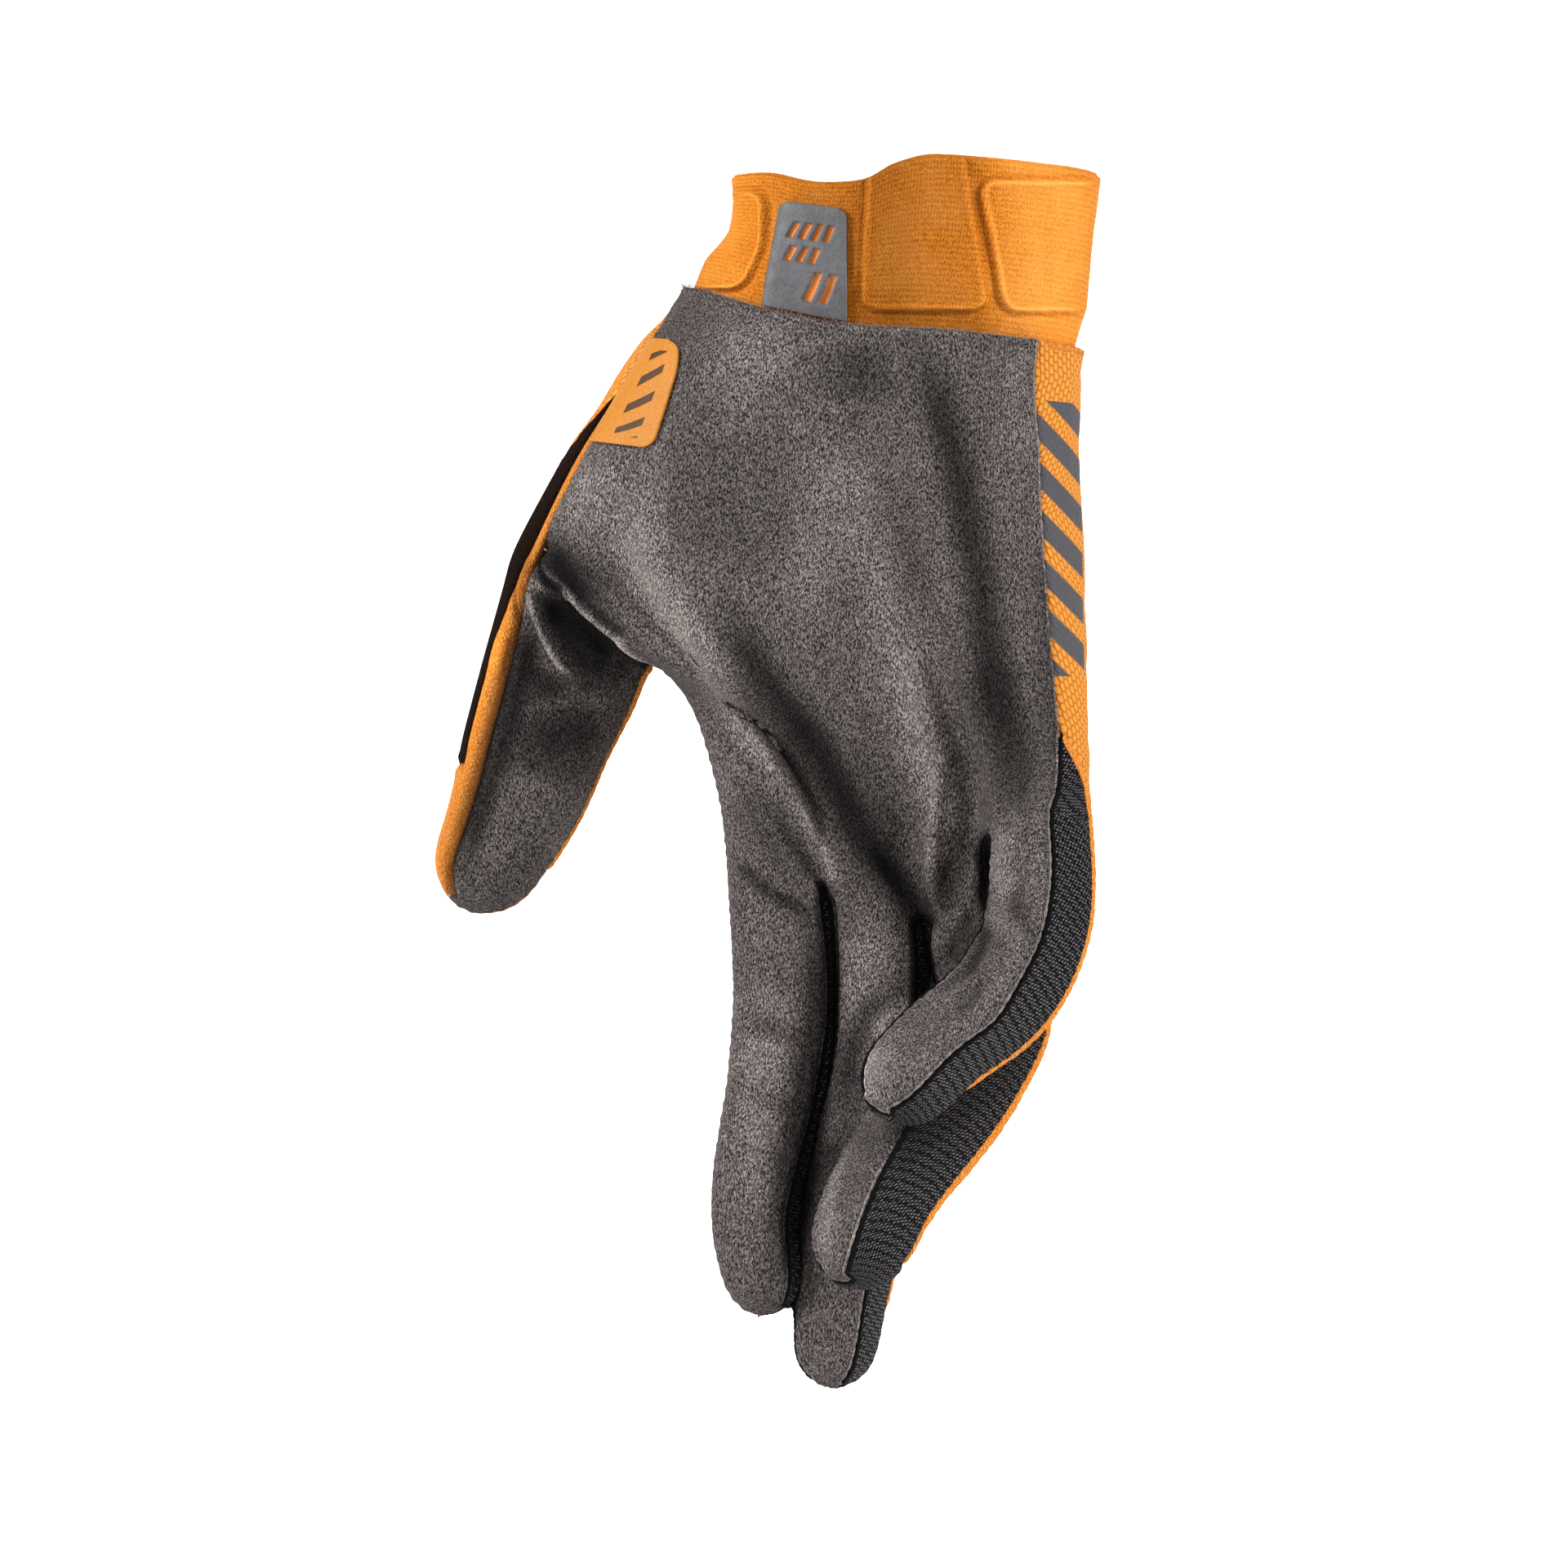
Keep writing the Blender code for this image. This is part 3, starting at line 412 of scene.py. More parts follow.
def coons(top, bottom, left, right, u, v, k):
    """Blends four border lines into the point of column k at shares u across and v down."""
    ruled = top[k] * (1 - v) + bottom[k] * v + left * (1 - u) + right * u
    above = top[0] * (1 - u) + top[-1] * u
    below = bottom[0] * (1 - u) + bottom[-1] * u
    return ruled - (above * (1 - v) + below * v)


def side_arc(front, back, bulge, shares=(1 / 3, 2 / 3)):
    """Returns the two points between two edges of the hand, pushed out square to their chord."""
    chord = back - front
    out = Vector((chord.y, -chord.x, 0)).normalized()
    return [front.lerp(back, share) + out * (bulge * math.sin(math.pi * share))
            for share in shares]


def hand_rows(bottom):
    """Returns the points of the hand's rows from the wrist to the finger sockets."""
    top = wrist_ring()
    rows = [top]
    for row in range(1, PALM_ROWS):
        v = row / PALM_ROWS
        palm_left, back_left, palm_right, back_right = (
            place(*spline(table, row)[k:k + 3])
            for table in (RADIAL_EDGES, ULNAR_EDGES) for k in (0, 3))
        points = [None] * COLUMNS
        for k in range(PALM_COLUMNS + 1):
            u = k / PALM_COLUMNS
            points[k] = coons(top[:PALM_COLUMNS + 1], bottom[:PALM_COLUMNS + 1],
                              palm_left, palm_right, u, v, k)
            points[ULNAR_BACK + k] = coons(top[ULNAR_BACK:RADIAL_BACK + 1],
                                           bottom[ULNAR_BACK:RADIAL_BACK + 1],
                                           back_right, back_left, u, v, k)
        bulge = SIDE_BULGE + (WRIST_BULGE - SIDE_BULGE) * max(0, 1 - row / BULGE_ROWS)
        points[PALM_COLUMNS + 1:ULNAR_BACK] = side_arc(palm_right, back_right, bulge)
        points[RADIAL_BACK + 1:] = side_arc(back_left, palm_left, SIDE_BULGE,
                                           spline(PIPING_SHARES, row))
        rows.append(points)
    return rows + [bottom]


FINGER_SIDES = ["index_side_panel", "index_middle_fourchette", "middle_ring_fourchette",
                "ring_little_fourchette", "little_side_panel"]
LITTLE_END = FINGER_STEPS + SIDE_STEPS
BACK_END = 2 * FINGER_STEPS + SIDE_STEPS

form = Form()
fingers = []
for table, corners in ((INDEX, INDEX_CORNERS), (MIDDLE, MIDDLE_CORNERS), (RING, RING_CORNERS),
                       (LITTLE, LITTLE_CORNERS)):
    rings, tip = finger_rings(table, FINGER_WIDTH, FINGER_DEPTH,
                              ring_angles(corners, FINGER_STEPS), BOXINESS, FINGER_RINGS)
    fingers.append(([[form.add(p) for p in ring] for ring in rings], tip))

sockets = [None] * COLUMNS
for f, (rings, tip) in enumerate(fingers):
    for k in range(FINGER_STEPS + 1):
        sockets[f * (FINGER_STEPS + 1) + k] = rings[0][k]
        sockets[ULNAR_BACK + (3 - f) * (FINGER_STEPS + 1) + k] = rings[0][LITTLE_END + k]
for k in range(1, SIDE_STEPS):
    sockets[PALM_COLUMNS + k] = fingers[3][0][0][FINGER_STEPS + k]
    sockets[RADIAL_BACK + k] = fingers[0][0][0][BACK_END + k]

hand = hand_rows([form.points[n] for n in sockets])
hand_around, hand_down = measured(hand)
grid = []
for row, points in enumerate(hand[:-1]):
    open_side = THUMB_FIRST_ROW < row < THUMB_LAST_ROW
    grid.append([None if open_side and c > RADIAL_BACK else form.add(point)
                 for c, point in enumerate(points)])
grid.append(sockets)

for r in range(PALM_ROWS):
    for c in range(COLUMNS):
        n = (c + 1) % COLUMNS
        corners = (grid[r][c], grid[r + 1][c], grid[r + 1][n], grid[r][n])
        flat = [(hand_around[i][m], hand_down[i][m])
                for i, m in ((r, c), (r + 1, c), (r + 1, c + 1), (r, c + 1))]
        low = r - (PALM_ROWS - SIDE_STEPS)
        if c < PALM_COLUMNS:
            form.face(corners, "palm_panel", flat)
        elif c < ULNAR_BACK:
            form.cut(corners, flat, low - (c - PALM_COLUMNS), "little_side_panel",
                     ((0, 1, 2), (0, 2, 3)))
        elif c < RADIAL_BACK:
            form.face(corners, "back_panel", flat)
        elif r < THUMB_FIRST_ROW:
            step = c - RADIAL_BACK
            if step == SIDE_STEPS - 1:
                form.face(corners, "thumb_side_panel", flat)
            else:
                form.cut(corners, flat, r + step - SIDE_STEPS, "thumb_wipe_panel",
                         ((1, 2, 3), (0, 1, 3)))
        elif r >= THUMB_LAST_ROW:
            form.cut(corners, flat, low + c - COLUMNS + 1, "index_side_panel",
                     ((1, 2, 3), (0, 1, 3)))

for f, (rings, tip) in enumerate(fingers):
    first = [form.points[n] for n in rings[0]]
    ring_around = measured([first])[0][0]
    end_panel = "back_panel" if f < 2 else FINGER_SIDES[f + 1]
    palm_column = f * (FINGER_STEPS + 1)
    back_column = ULNAR_BACK + (3 - f) * (FINGER_STEPS + 1)

    def panel_of(j, k):
        if k < FINGER_STEPS:
            return "palm_panel"
        if k < LITTLE_END:
            return FINGER_SIDES[f + 1]
        if k < BACK_END:
            return end_panel if j >= FINGER_RINGS else "back_panel"
        return FINGER_SIDES[f]

    def start_of(k):
        column, offset = palm_column, 0.0
        if LITTLE_END <= k < BACK_END:
            column, offset = back_column, ring_around[LITTLE_END]
        return hand_around[-1][column] - offset, hand_down[-1][column]

    around, down = form.loft(rings, panel_of, start_of)
    form.cap(rings[-1], FINGER_STEPS, tip, ("palm_panel", FINGER_SIDES[f + 1], end_panel),
             around + hand_around[-1][palm_column], down + hand_down[-1][palm_column])
for f in range(3):
    thumb_side, little_side = fingers[f][0][0], fingers[f + 1][0][0]
    near = [thumb_side[FINGER_STEPS + k] for k in range(SIDE_STEPS + 1)]
    far = [little_side[-k] for k in range(SIDE_STEPS + 1)]
    for k in range(SIDE_STEPS):
        u = k * GUSSET
        form.face((near[k], near[k + 1], far[k + 1], far[k]), FINGER_SIDES[f + 1],
                  [(u, 0), (u + GUSSET, 0), (u + GUSSET, GUSSET), (u, GUSSET)])

thumb_steps = THUMB_LAST_ROW - THUMB_FIRST_ROW
hole = [grid[r][0] for r in range(THUMB_FIRST_ROW, THUMB_LAST_ROW + 1)]
hole += [grid[THUMB_LAST_ROW][c] for c in range(COLUMNS - 1, RADIAL_BACK - 1, -1)]
hole += [grid[r][RADIAL_BACK] for r in range(THUMB_LAST_ROW - 1, THUMB_FIRST_ROW - 1, -1)]
hole += [grid[THUMB_FIRST_ROW][c] for c in range(RADIAL_BACK + 1, COLUMNS)]
thumb_angles = ring_angles(THUMB_CORNERS, thumb_steps)
thumb_angles[-1] += math.radians(THUMB_RIDGE_TURN)
rings, tip = finger_rings(THUMB, THUMB_WIDTH, THUMB_DEPTH, thumb_angles, THUMB_BOXINESS,
                          THUMB_RINGS)
thumb = [hole]
root = sum(rings[0], Vector()) / len(hole)
for j, ring in enumerate(rings[1:]):
    centre = sum(ring, Vector()) / len(hole)
    keep = THUMB_ROOT_BLEND[j] if j < len(THUMB_ROOT_BLEND) else 0
    thumb.append([form.add(p.lerp(form.points[n] + centre - root, keep))
                  for p, n in zip(ring, hole)])


def thumb_panel(j, k):
    """Returns the panel of a face of the thumb."""
    if k < thumb_steps:
        return "thumb_palm_panel"
    if k == 2 * (thumb_steps + SIDE_STEPS) - 1:
        return "thumb_side_panel"
    wiped = k >= thumb_steps + SIDE_STEPS and j < WIPE_RINGS
    return "thumb_wipe_panel" if wiped else "thumb_back_panel"


around, down = form.loft(thumb, thumb_panel, lambda k: (0.0, 0.0))
form.cap(thumb[-1], thumb_steps, tip,
         ("thumb_palm_panel", "thumb_palm_panel", "thumb_back_panel"), around, down)

for n, normal in enumerate(form.normals()):
    point = form.points[n]
    facing = max(0.0, -normal.y)
    if facing == 0:
        continue
    height = 0.0
    for x, z, half_x, half_z, rise in SWELLINGS:
        far = ((point.x / ACROSS - x) / half_x) ** 2 + ((-point.z / DOWN - z) / half_z) ** 2
        height += rise * math.exp(-far)
    for x0, z0, x1, z1, rise, half in FOLDS:
        start = Vector((x0 * ACROSS, z0 * DOWN))
        along = Vector((x1 * ACROSS, z1 * DOWN)) - start
        here = Vector((point.x, -point.z)) - start
        share = clamp(here.dot(along) / along.length_squared)
        height += rise * math.exp(-((here - along * share).length / (half * DOWN / 2)) ** 2)
    point += normal * (height * facing * DEEP)

PANELS = sorted(set(form.panels))
coarse = bpy.data.meshes.new("worn_form")
coarse.from_pydata([tuple(p) for p in form.points], [], form.faces)
for panel in PANELS:
    coarse.materials.append(None)
coarse.polygons.foreach_set("material_index", [PANELS.index(panel) for panel in form.panels])
coarse.uv_layers.new(name="cloth").data.foreach_set(
    "uv", [value for face in form.flat for corner in face for value in corner])
draft = added("worn_form", coarse)
subdivision = draft.modifiers.new("smooth", "SUBSURF")
subdivision.levels = SMOOTHING
subdivision.uv_smooth = "NONE"


def smoothed():
    """Returns the smoothed skin of the draft as a mesh."""
    bpy.context.view_layer.update()
    return bpy.data.meshes.new_from_object(
        draft.evaluated_get(bpy.context.evaluated_depsgraph_get()))


def vertex_places(mesh):
    """Returns a mesh's vertex positions as an array."""
    places = np.empty(len(mesh.vertices) * 3)
    mesh.vertices.foreach_get("co", places)
    return places.reshape(-1, 3)


target = vertex_places(coarse)
pulled = target.copy()
for _ in range(PULLS):
    pulled += PULL * (target - vertex_places(smoothed())[:len(target)])
    coarse.vertices.foreach_set("co", pulled.ravel())
    coarse.update()
fine = smoothed()
bpy.data.objects.remove(draft)
skin = vertex_places(fine)
quads = np.empty(len(fine.polygons) * 4, dtype=int)
fine.loops.foreach_get("vertex_index", quads)
quads = quads.reshape(-1, 4)
panel_ids = np.empty(len(quads), dtype=int)
fine.polygons.foreach_get("material_index", panel_ids)
flat_places = np.empty(len(quads) * 8)
fine.uv_layers["cloth"].data.foreach_get("uv", flat_places)
flat_places = flat_places.reshape(-1, 4, 2)


def outward():
    """Returns the skin's outward directions after its vertices were moved."""
    fine.vertices.foreach_set("co", skin.ravel())
    fine.update()
    normals = np.empty(len(skin) * 3)
    fine.vertex_normals.foreach_get("vector", normals)
    return normals.reshape(-1, 3)


# Folds that wearing has set in the suede: ridges, valleys and the deep crease where the palm laps
# over the thumb, with painted light and shade: paler on ridges and lit areas, darker in valleys,
# creases, shaded areas and beside the fingers' edges. Places are as the camera sees them.
FOLDS_AND_PAINTED_LIGHT = [
    # height and half width in mm, tone of painted light and shade in stops, line of places:
    # mm across and down by turns
    (0.7, 3, 0.6, (-45, 41, -33.6, 58.7, -25.5, 71.2, -19, 81)),
    (0.7, 1.2, 1.1, (-23.5, 74.2, -14.2, 88.7, -9.7, 96.9, -7.7, 103)),
    (0.4, 4, 0.4, (-47, 36, -38.7, 50.6, -33.2, 58.7, -24.6, 72.6)),
    (-1.1, 3.2, -1.7, (-29, 52, -19.1, 67, -11.9, 77.1, -4.6, 90.2, 2.6, 100.3, 6.5, 105.5)),
    (0, 5.5, -0.6, (-19.1, 70, -8, 86, 2.6, 100.3)),
    (-0.8, 3.4, -1.5, (6.6, 4, 12.8, 25, 17.1, 45.2, 20, 67, 22.9, 84)),
    (0, 5.5, -0.7, (19, 60, 23.5, 86)),
    (0.4, 4.5, 0.5, (-6.1, 30.7, -0.3, 45.2, 4.1, 59.7, 7, 74.2, 9.9, 88.7)),
    (0.8, 1.4, 0.5, (9.7, 79, 9, 89.8, 8.4, 101.8)),
    (-0.9, 2.4, -0.6, (14, 90, 12.5, 99, 10.6, 108)),
    (0, 7, -0.85, (-6, 4, -4, 15)),
    (0, 5.5, 0.45, (-8, 22, -14, 52)),
    (0, 3.2, 0.3, (4.5, 60, 8, 88)),
    (0, 3.5, -0.6, (29.5, 40, 30, 62, 31, 84)),
    (-0.6, 1.6, -1.6, (-2, 94, 4, 101.5, 7.6, 107, 8.4, 112)),
    (0, 9, -0.35, (-27, 20, -28, 42)),
    (0, 7, 0.3, (-28, 3, -19, 12)),
    (0.2, 4, 0.45, (-50, 26, -55.5, 37)),
    (0, 6, 0.35, (-47, 30, -42, 43)),
    (0.2, 4, 0.25, (23.5, 4, 25, 28)),
    (0.45, 1, 0.4, (-18.7, 93.7, -11, 103.4)),
    (-0.5, 1.3, -0.7, (-21, 86, -13.4, 97.3, -10.4, 102.9)),
    (-0.6, 1.2, -1.3, (-26.2, 96.9, -20, 102.4, -13.2, 105.8)),
    (0, 3, -0.5, (-25, 84, -15.5, 99)),
    (0.6, 1.5, 0.5, (19.6, 105.1, 24, 111.6)),
    (-0.7, 1.3, -0.8, (22.8, 102.5, 26.6, 110)),
    (-0.6, 1.2, -1.3, (18.4, 92, 17.6, 103, 18, 110, 15, 116, 10, 119.5)),
    (0.5, 2.5, 0.8, (22.5, 90.5, 20.5, 97.5, 22.5, 103.5)),
    (0.5, 1.5, 0.3, (13.5, 104, 9, 112)),
    (-0.5, 1.3, -0.7, (16.5, 105, 11, 114)),
    (-1.4, 2.2, -2.2, (-62.2, 38.5, -57.5, 44.5, -52.8, 51.5)),
    (-0.8, 1.6, -1.8, (-52, 52.5, -46.5, 57)),
    (0, 4.5, -1.1, (-60, 40, -50, 52)),
    (1.1, 0.9, 2.7, (-63.3, 46.1, -60.2, 48.4, -56, 50.2, -52.5, 52.9, -47, 57.3, -40.6, 61.8)),
    (0.2, 0.6, 1.7, (-61, 44.6, -57.6, 48, -54.5, 50.9)),
    (-2.2, 2.1, -3.2, (-60.8, 46.4, -56.7, 52.4, -52.2, 56.2, -46.4, 60.8, -42, 64)),
    (0.8, 0.65, 1.7, (-63.4, 48, -62, 53.2, -60.1, 57.9, -57.4, 62.1, -54.5, 64.6)),
    (-0.7, 2.2, -2, (-60.4, 50, -57.6, 56, -53, 61, -48, 64)),
    (-0.4, 2, -1, (-64, 56, -62, 63, -58, 68)),
    (0.5, 1.6, 0.7, (-62, 69.5, -54, 67.8, -48, 68.5)),
    (-0.3, 3, -0.9, (-62, 75, -50, 74)),
    (0, 9, -1.2, (-56, 62, -60, 84)),
    (-0.2, 2, -1.7, (-62.6, 54, -63.5, 59, -66.5, 72, -71, 86, -74.5, 98)),
    (0, 5, -0.45, (-62, 92, -70, 104)),
    (-0.5, 4.5, 0, (-17.7, 11.9, -13, 24, -11.9, 33.6)),
    (0.3, 2.4, 0.35, (-24, 119, -15, 124)),
    (-0.4, 1.8, -0.5, (-22, 125, -14, 129)),
    (-0.35, 2, -0.4, (-24, 137, -16.5, 141)),
    (0, 3.5, 1, (0.5, 128, -1.5, 134, -2.5, 143)),
    (0, 5, 0.7, (-22, 126, -21, 162)),
    (0, 4.5, 0.55, (-4, 108, -6, 128)),
    (0, 3, 0.5, (-9, 150, -7.5, 166)),
    (-0.4, 1.6, -0.4, (-0.5, 136, 8.6, 142)),
    (-0.5, 1.5, -0.5, (2, 121, 9.5, 129)),
    (-0.5, 1.6, -0.6, (17, 118, 13, 124)),
    (0, 2.6, -1.2, (-11.2, 107.6, -11.9, 125, -14.1, 138, -17.5, 149.6, -18, 167)),
    (0, 2.2, -0.8, (16.2, 106.1, 14.2, 112.7, 8.4, 117.5, 2.6, 119.5)),
    (0, 2.2, -1.1, (0.4, 120.4, -3.4, 124.3, -6, 130.8, -6.9, 138)),
    (0, 1.7, 0.7, (12, 117, 4.1, 121.8, -0.6, 126.2, -3, 132.2, -3.3, 138.8)),
    (0, 2.2, -1.1, (-5.2, 145.2, -9.8, 148.7, -12.7, 154, -13.7, 161.2)),
    (0, 1.7, 0.6, (-5.8, 148.5, -8.4, 152.5, -9.9, 159.8, -10.2, 167)),
]
FOLD_FADE = 0.18
FOLD_END = 0.3
SUEDE_PANELS = ("palm_panel", "thumb_palm_panel")
# the suede is paler left of one line on the palm as the camera sees it: across, top, bottom, tone
PALER_LEFT_OF = (-0.0383, -0.010, -0.056, 0.18)
PALER_SOFT = (0.0006, 0.008, 0.02)
WRINKLES = {
    # height and length of the slight unevenness of a panel, in mm
    "palm_panel": (0.18, 9.0),
    "thumb_palm_panel": (0.12, 9.0),
    "back_panel": (0.35, 10.0),
}

RIDGE_FOLDS_AND_PAINTED_LIGHT = [
    # the same for the rolled ridge of orange knit along the thumb
    (0, 1.1, -1, (-64.2, 48, -64.2, 55, -67.5, 65, -70.4, 76, -74, 87.6, -76.9, 97)),
    (0.2, 0.8, 0.6, (-68.2, 58, -70.5, 66, -73.5, 76, -77, 87, -79, 96)),
    (-0.8, 0.5, -2.2, (-63.2, 41, -65.2, 47.7, -65, 53.8)),
    (0, 2.2, -0.9, (-62.4, 38, -64.6, 47)),
    (0.4, 0.8, 0.5, (-66.6, 49, -67.6, 56, -69, 63)),
    (-0.4, 0.7, -0.8, (-66, 56, -68, 64)),
]

out = outward()


def vertices_of(*names):
    """Returns the numbers of the skin's vertices that belong to the named panels."""
    return np.unique(quads[np.isin(panel_ids, [PANELS.index(name) for name in names])])


def on_panels(*names):
    """Returns a mask of the skin's vertices that belong to the named panels."""
    return np.isin(np.arange(len(skin)), vertices_of(*names))


def skin_tree():
    """Returns the skin as a tree that rays can be cast at."""
    return BVHTree.FromPolygons(skin.tolist(), quads.tolist())


def seen_on_skin(tree, x, z):
    """Returns the place on the glove that the camera sees at x and z millimetres."""
    aim = Vector((x / 1000, 0, z / 1000)) - EYE
    return tree.ray_cast(EYE, aim)[0]


tree = skin_tree()
# lift of the skin, and the tone in stops that each point carries: painted light and shade, and
# later seam darkening
lift = np.zeros(len(skin))
painted_light_and_seam_tone = np.zeros(len(skin))
in_suede, in_ridge = on_panels(*SUEDE_PANELS), on_panels("thumb_side_panel")
for mask, (height, half, tone, line) in ([(in_suede, fold) for fold in FOLDS_AND_PAINTED_LIGHT]
                                         + [(in_ridge, fold) for fold in RIDGE_FOLDS_AND_PAINTED_LIGHT]):
    places = [seen_on_skin(tree, x, -z) for x, z in zip(line[::2], line[1::2])]
    places = np.array([tuple(p) for p in places if p is not None])
    if len(places) < 2:
        continue
    spans = np.linalg.norm(np.diff(places, axis=0), axis=1)
    total, passed = spans.sum(), 0.0
    best = np.full(len(skin), np.inf)
    share = np.zeros(len(skin))
    for a, b, span in zip(places, places[1:], spans):
        t = np.clip((skin - a) @ (b - a) / span ** 2, 0, 1)
        far = np.linalg.norm(skin - (a + t[:, None] * (b - a)), axis=1)
        nearer = far < best
        best[nearer] = far[nearer]
        share[nearer] = (passed + t[nearer] * span) / total
        passed += span
    fade = np.clip(np.minimum(share, 1 - share) / FOLD_FADE, 0, 1)
    fade = FOLD_END + (1 - FOLD_END) * fade * fade * (3 - 2 * fade)
    shape = np.where(mask, fade * np.exp(-(best / (half / 1000)) ** 2), 0)
    lift += height / 1000 * shape
    painted_light_and_seam_tone += tone * shape
# paler suede left of that line, with soft ends
seen_x = EYE.x + (skin[:, 0] - EYE.x) * EYE.y / (EYE.y - skin[:, 1])
step_x, top_z, low_z, tone = PALER_LEFT_OF
aside, above, below = PALER_SOFT
beyond = np.clip((step_x - seen_x) / aside + 0.5, 0, 1)
beyond *= np.clip((top_z - skin[:, 2]) / above, 0, 1) * np.clip((skin[:, 2] - low_z) / below, 0, 1)
painted_light_and_seam_tone += np.where(in_suede, tone * beyond, 0)
for panel, (height, length) in WRINKLES.items():
    for n in vertices_of(panel):
        spot = Vector(skin[n]) * (1000 / length)
        lift[n] += height / 1000 * (noise.noise(spot) + 0.5 * noise.noise(spot * 2.3))
skin += out * lift[:, None]

# Fingers rest against each other: where two of them nearly touch, their knit sides swell until
# they meet. Beside the index the side panel is pulled in, behind the edge of the suede.
TOUCHING = 0.0001
TOUCH_REACH = (0.0016, 0.0030)
RAY_START = 0.00005
FACING_EACH_OTHER = -0.3
SIDE_PULL = 0.0013
SIDE_PULL_REACH = 0.0022
SIDE_PULL_CORNER = (-0.012, -0.055)
SIDE_PULL_END = -0.030
SIDE_FACING = 0.2

out = outward()
tree = skin_tree()
swell = np.zeros(len(skin))
for n in vertices_of(*FINGER_SIDES[1:4]):
    start = Vector(skin[n]) + Vector(out[n]) * RAY_START
    _, normal, _, far = tree.ray_cast(start, Vector(out[n]), TOUCH_REACH[1])
    if far is not None and normal.dot(Vector(out[n])) < FACING_EACH_OTHER:
        near, wide = TOUCH_REACH
        swell[n] = max(0, far - TOUCHING) / 2 * min(1, (wide - far) / (wide - near))
skin += out * swell[:, None]


def point_tree(numbers):
    """Returns a tree that finds the nearest of the skin's numbered vertices."""
    found = KDTree(len(numbers))
    for i, n in enumerate(numbers):
        found.insert(skin[n], i)
    found.balance()
    return found


suede_tree = point_tree(vertices_of("palm_panel"))
for n in vertices_of("index_side_panel", "back_panel"):
    x, _, z = skin[n]
    facing = max(-out[n][0], -0.9 * out[n][2] if x < SIDE_PULL_END else 0)
    if x < SIDE_PULL_CORNER[0] and z < SIDE_PULL_CORNER[1] and facing > SIDE_FACING:
        _, _, far = suede_tree.find(skin[n])
        share = min(1, far / SIDE_PULL_REACH)
        skin[n] -= out[n] * (SIDE_PULL * share * min(1, (facing - SIDE_FACING) * 2))

# Every seam of the hand: panels are joined edge to edge, turned in and stitched, so the cloth
# dips at the seam and stands as a soft lip beside it, puckered by each stitch.
SEAM_DEPTH = 0.00045
SEAM_REACH = 0.0006
SEAM_END = 0.005
LIP_HEIGHT = {"palm_panel": 0.00035, "thumb_palm_panel": 0.00030, "back_panel": 0.00020,
              "thumb_side_panel": 0.0}
KNIT_LIP_HEIGHT = 0.00015
LIP_PLACE = 0.0013
LIP_HALF = 0.0007
STITCH_PITCH = 0.0025
PUCKER = 0.35
PIPING_RISE = 0.0011
PIPING_ROUNDING = 0.0010
PIPING_SWELLS = (-0.034, -0.058)
SEAM_TONE = -0.9
SEAM_TONE_REACH = 0.0005

out = outward()
half_edges = {}
for face, corners in enumerate(quads.tolist()):
    for k in range(4):
        half_edges[(corners[k], corners[(k + 1) % 4])] = panel_ids[face]


def borders(panel):
    """Returns a panel's borders as loops of (vertex, next vertex, panel beyond or None)."""
    own = PANELS.index(panel)
    ahead = {}
    for (a, b), holder in half_edges.items():
        if holder == own:
            beyond = half_edges.get((b, a))
            if beyond != own:
                ahead[a] = (b, None if beyond is None else PANELS[beyond])
    loops = []
    while ahead:
        start = next(iter(ahead))
        loop, here = [], start
        while here in ahead:
            following, beyond = ahead.pop(here)
            loop.append((here, following, beyond))
            here = following
        loops.append(loop)
    return loops


panel_borders = {panel: borders(panel) for panel in PANELS}
lift = np.zeros(len(skin))
touched = np.zeros(len(skin))
for panel, loops in panel_borders.items():
    ends, passed = [], []
    for loop in loops:
        run = 0.0
        for a, b, beyond in loop:
            if beyond is not None:
                ends.append(a)
                passed.append(run)
            run += np.linalg.norm(skin[b] - skin[a])
    seam_tree = point_tree(ends)
    lip = LIP_HEIGHT.get(panel, KNIT_LIP_HEIGHT)
    for n in vertices_of(panel):
        _, i, far = seam_tree.find(skin[n])
        if far > SEAM_END:
            continue
        pucker = 1 - PUCKER + PUCKER * math.cos(2 * math.pi * passed[i] / STITCH_PITCH)
        height = lip * pucker * math.exp(-((far - LIP_PLACE) / LIP_HALF) ** 2)
        reach = SEAM_TONE_REACH
        if panel == "thumb_side_panel":
            thin, full = PIPING_SWELLS
            share = min(1, max(0.3, (skin[n][2] - thin) / (full - thin)))
            height += PIPING_RISE * share * (1 - math.exp(-(far / PIPING_ROUNDING) ** 2))
            reach *= 0.4 + 1.8 * share
        height -= SEAM_DEPTH * math.exp(-(far / SEAM_REACH) ** 2)
        lift[n] += height
        touched[n] += 1
        painted_light_and_seam_tone[n] += SEAM_TONE * math.exp(-(far / reach) ** 2) / (2 if far < 1e-6 else 1)
skin += out * (lift / np.maximum(touched, 1))[:, None]
out = outward()

# Painted shade: where the cloth lies deep, between two fingers or in a fold, it is painted darker,
# as shade falls there: each point is darkened by how much of its outlook other cloth closes.
OUTLOOK_REACH = 0.014
OUTLOOK_RAYS = 16
OUTLOOK_START = 0.0003
OUTLOOK_POWER = 1.2
DARKEST = -5
SUEDE_SHADE = 2.2
KNIT_SHADE = 5.5


def outlook_directions(count):
    """Returns directions spread over a half sphere round +Z, most of them near its pole."""
    directions = []
    for k in range(count):
        share = (k + 0.5) / count
        turn = math.pi * (3 - math.sqrt(5)) * k
        directions.append((math.sqrt(share) * math.cos(turn), math.sqrt(share) * math.sin(turn),
                           math.sqrt(1 - share)))
    return directions


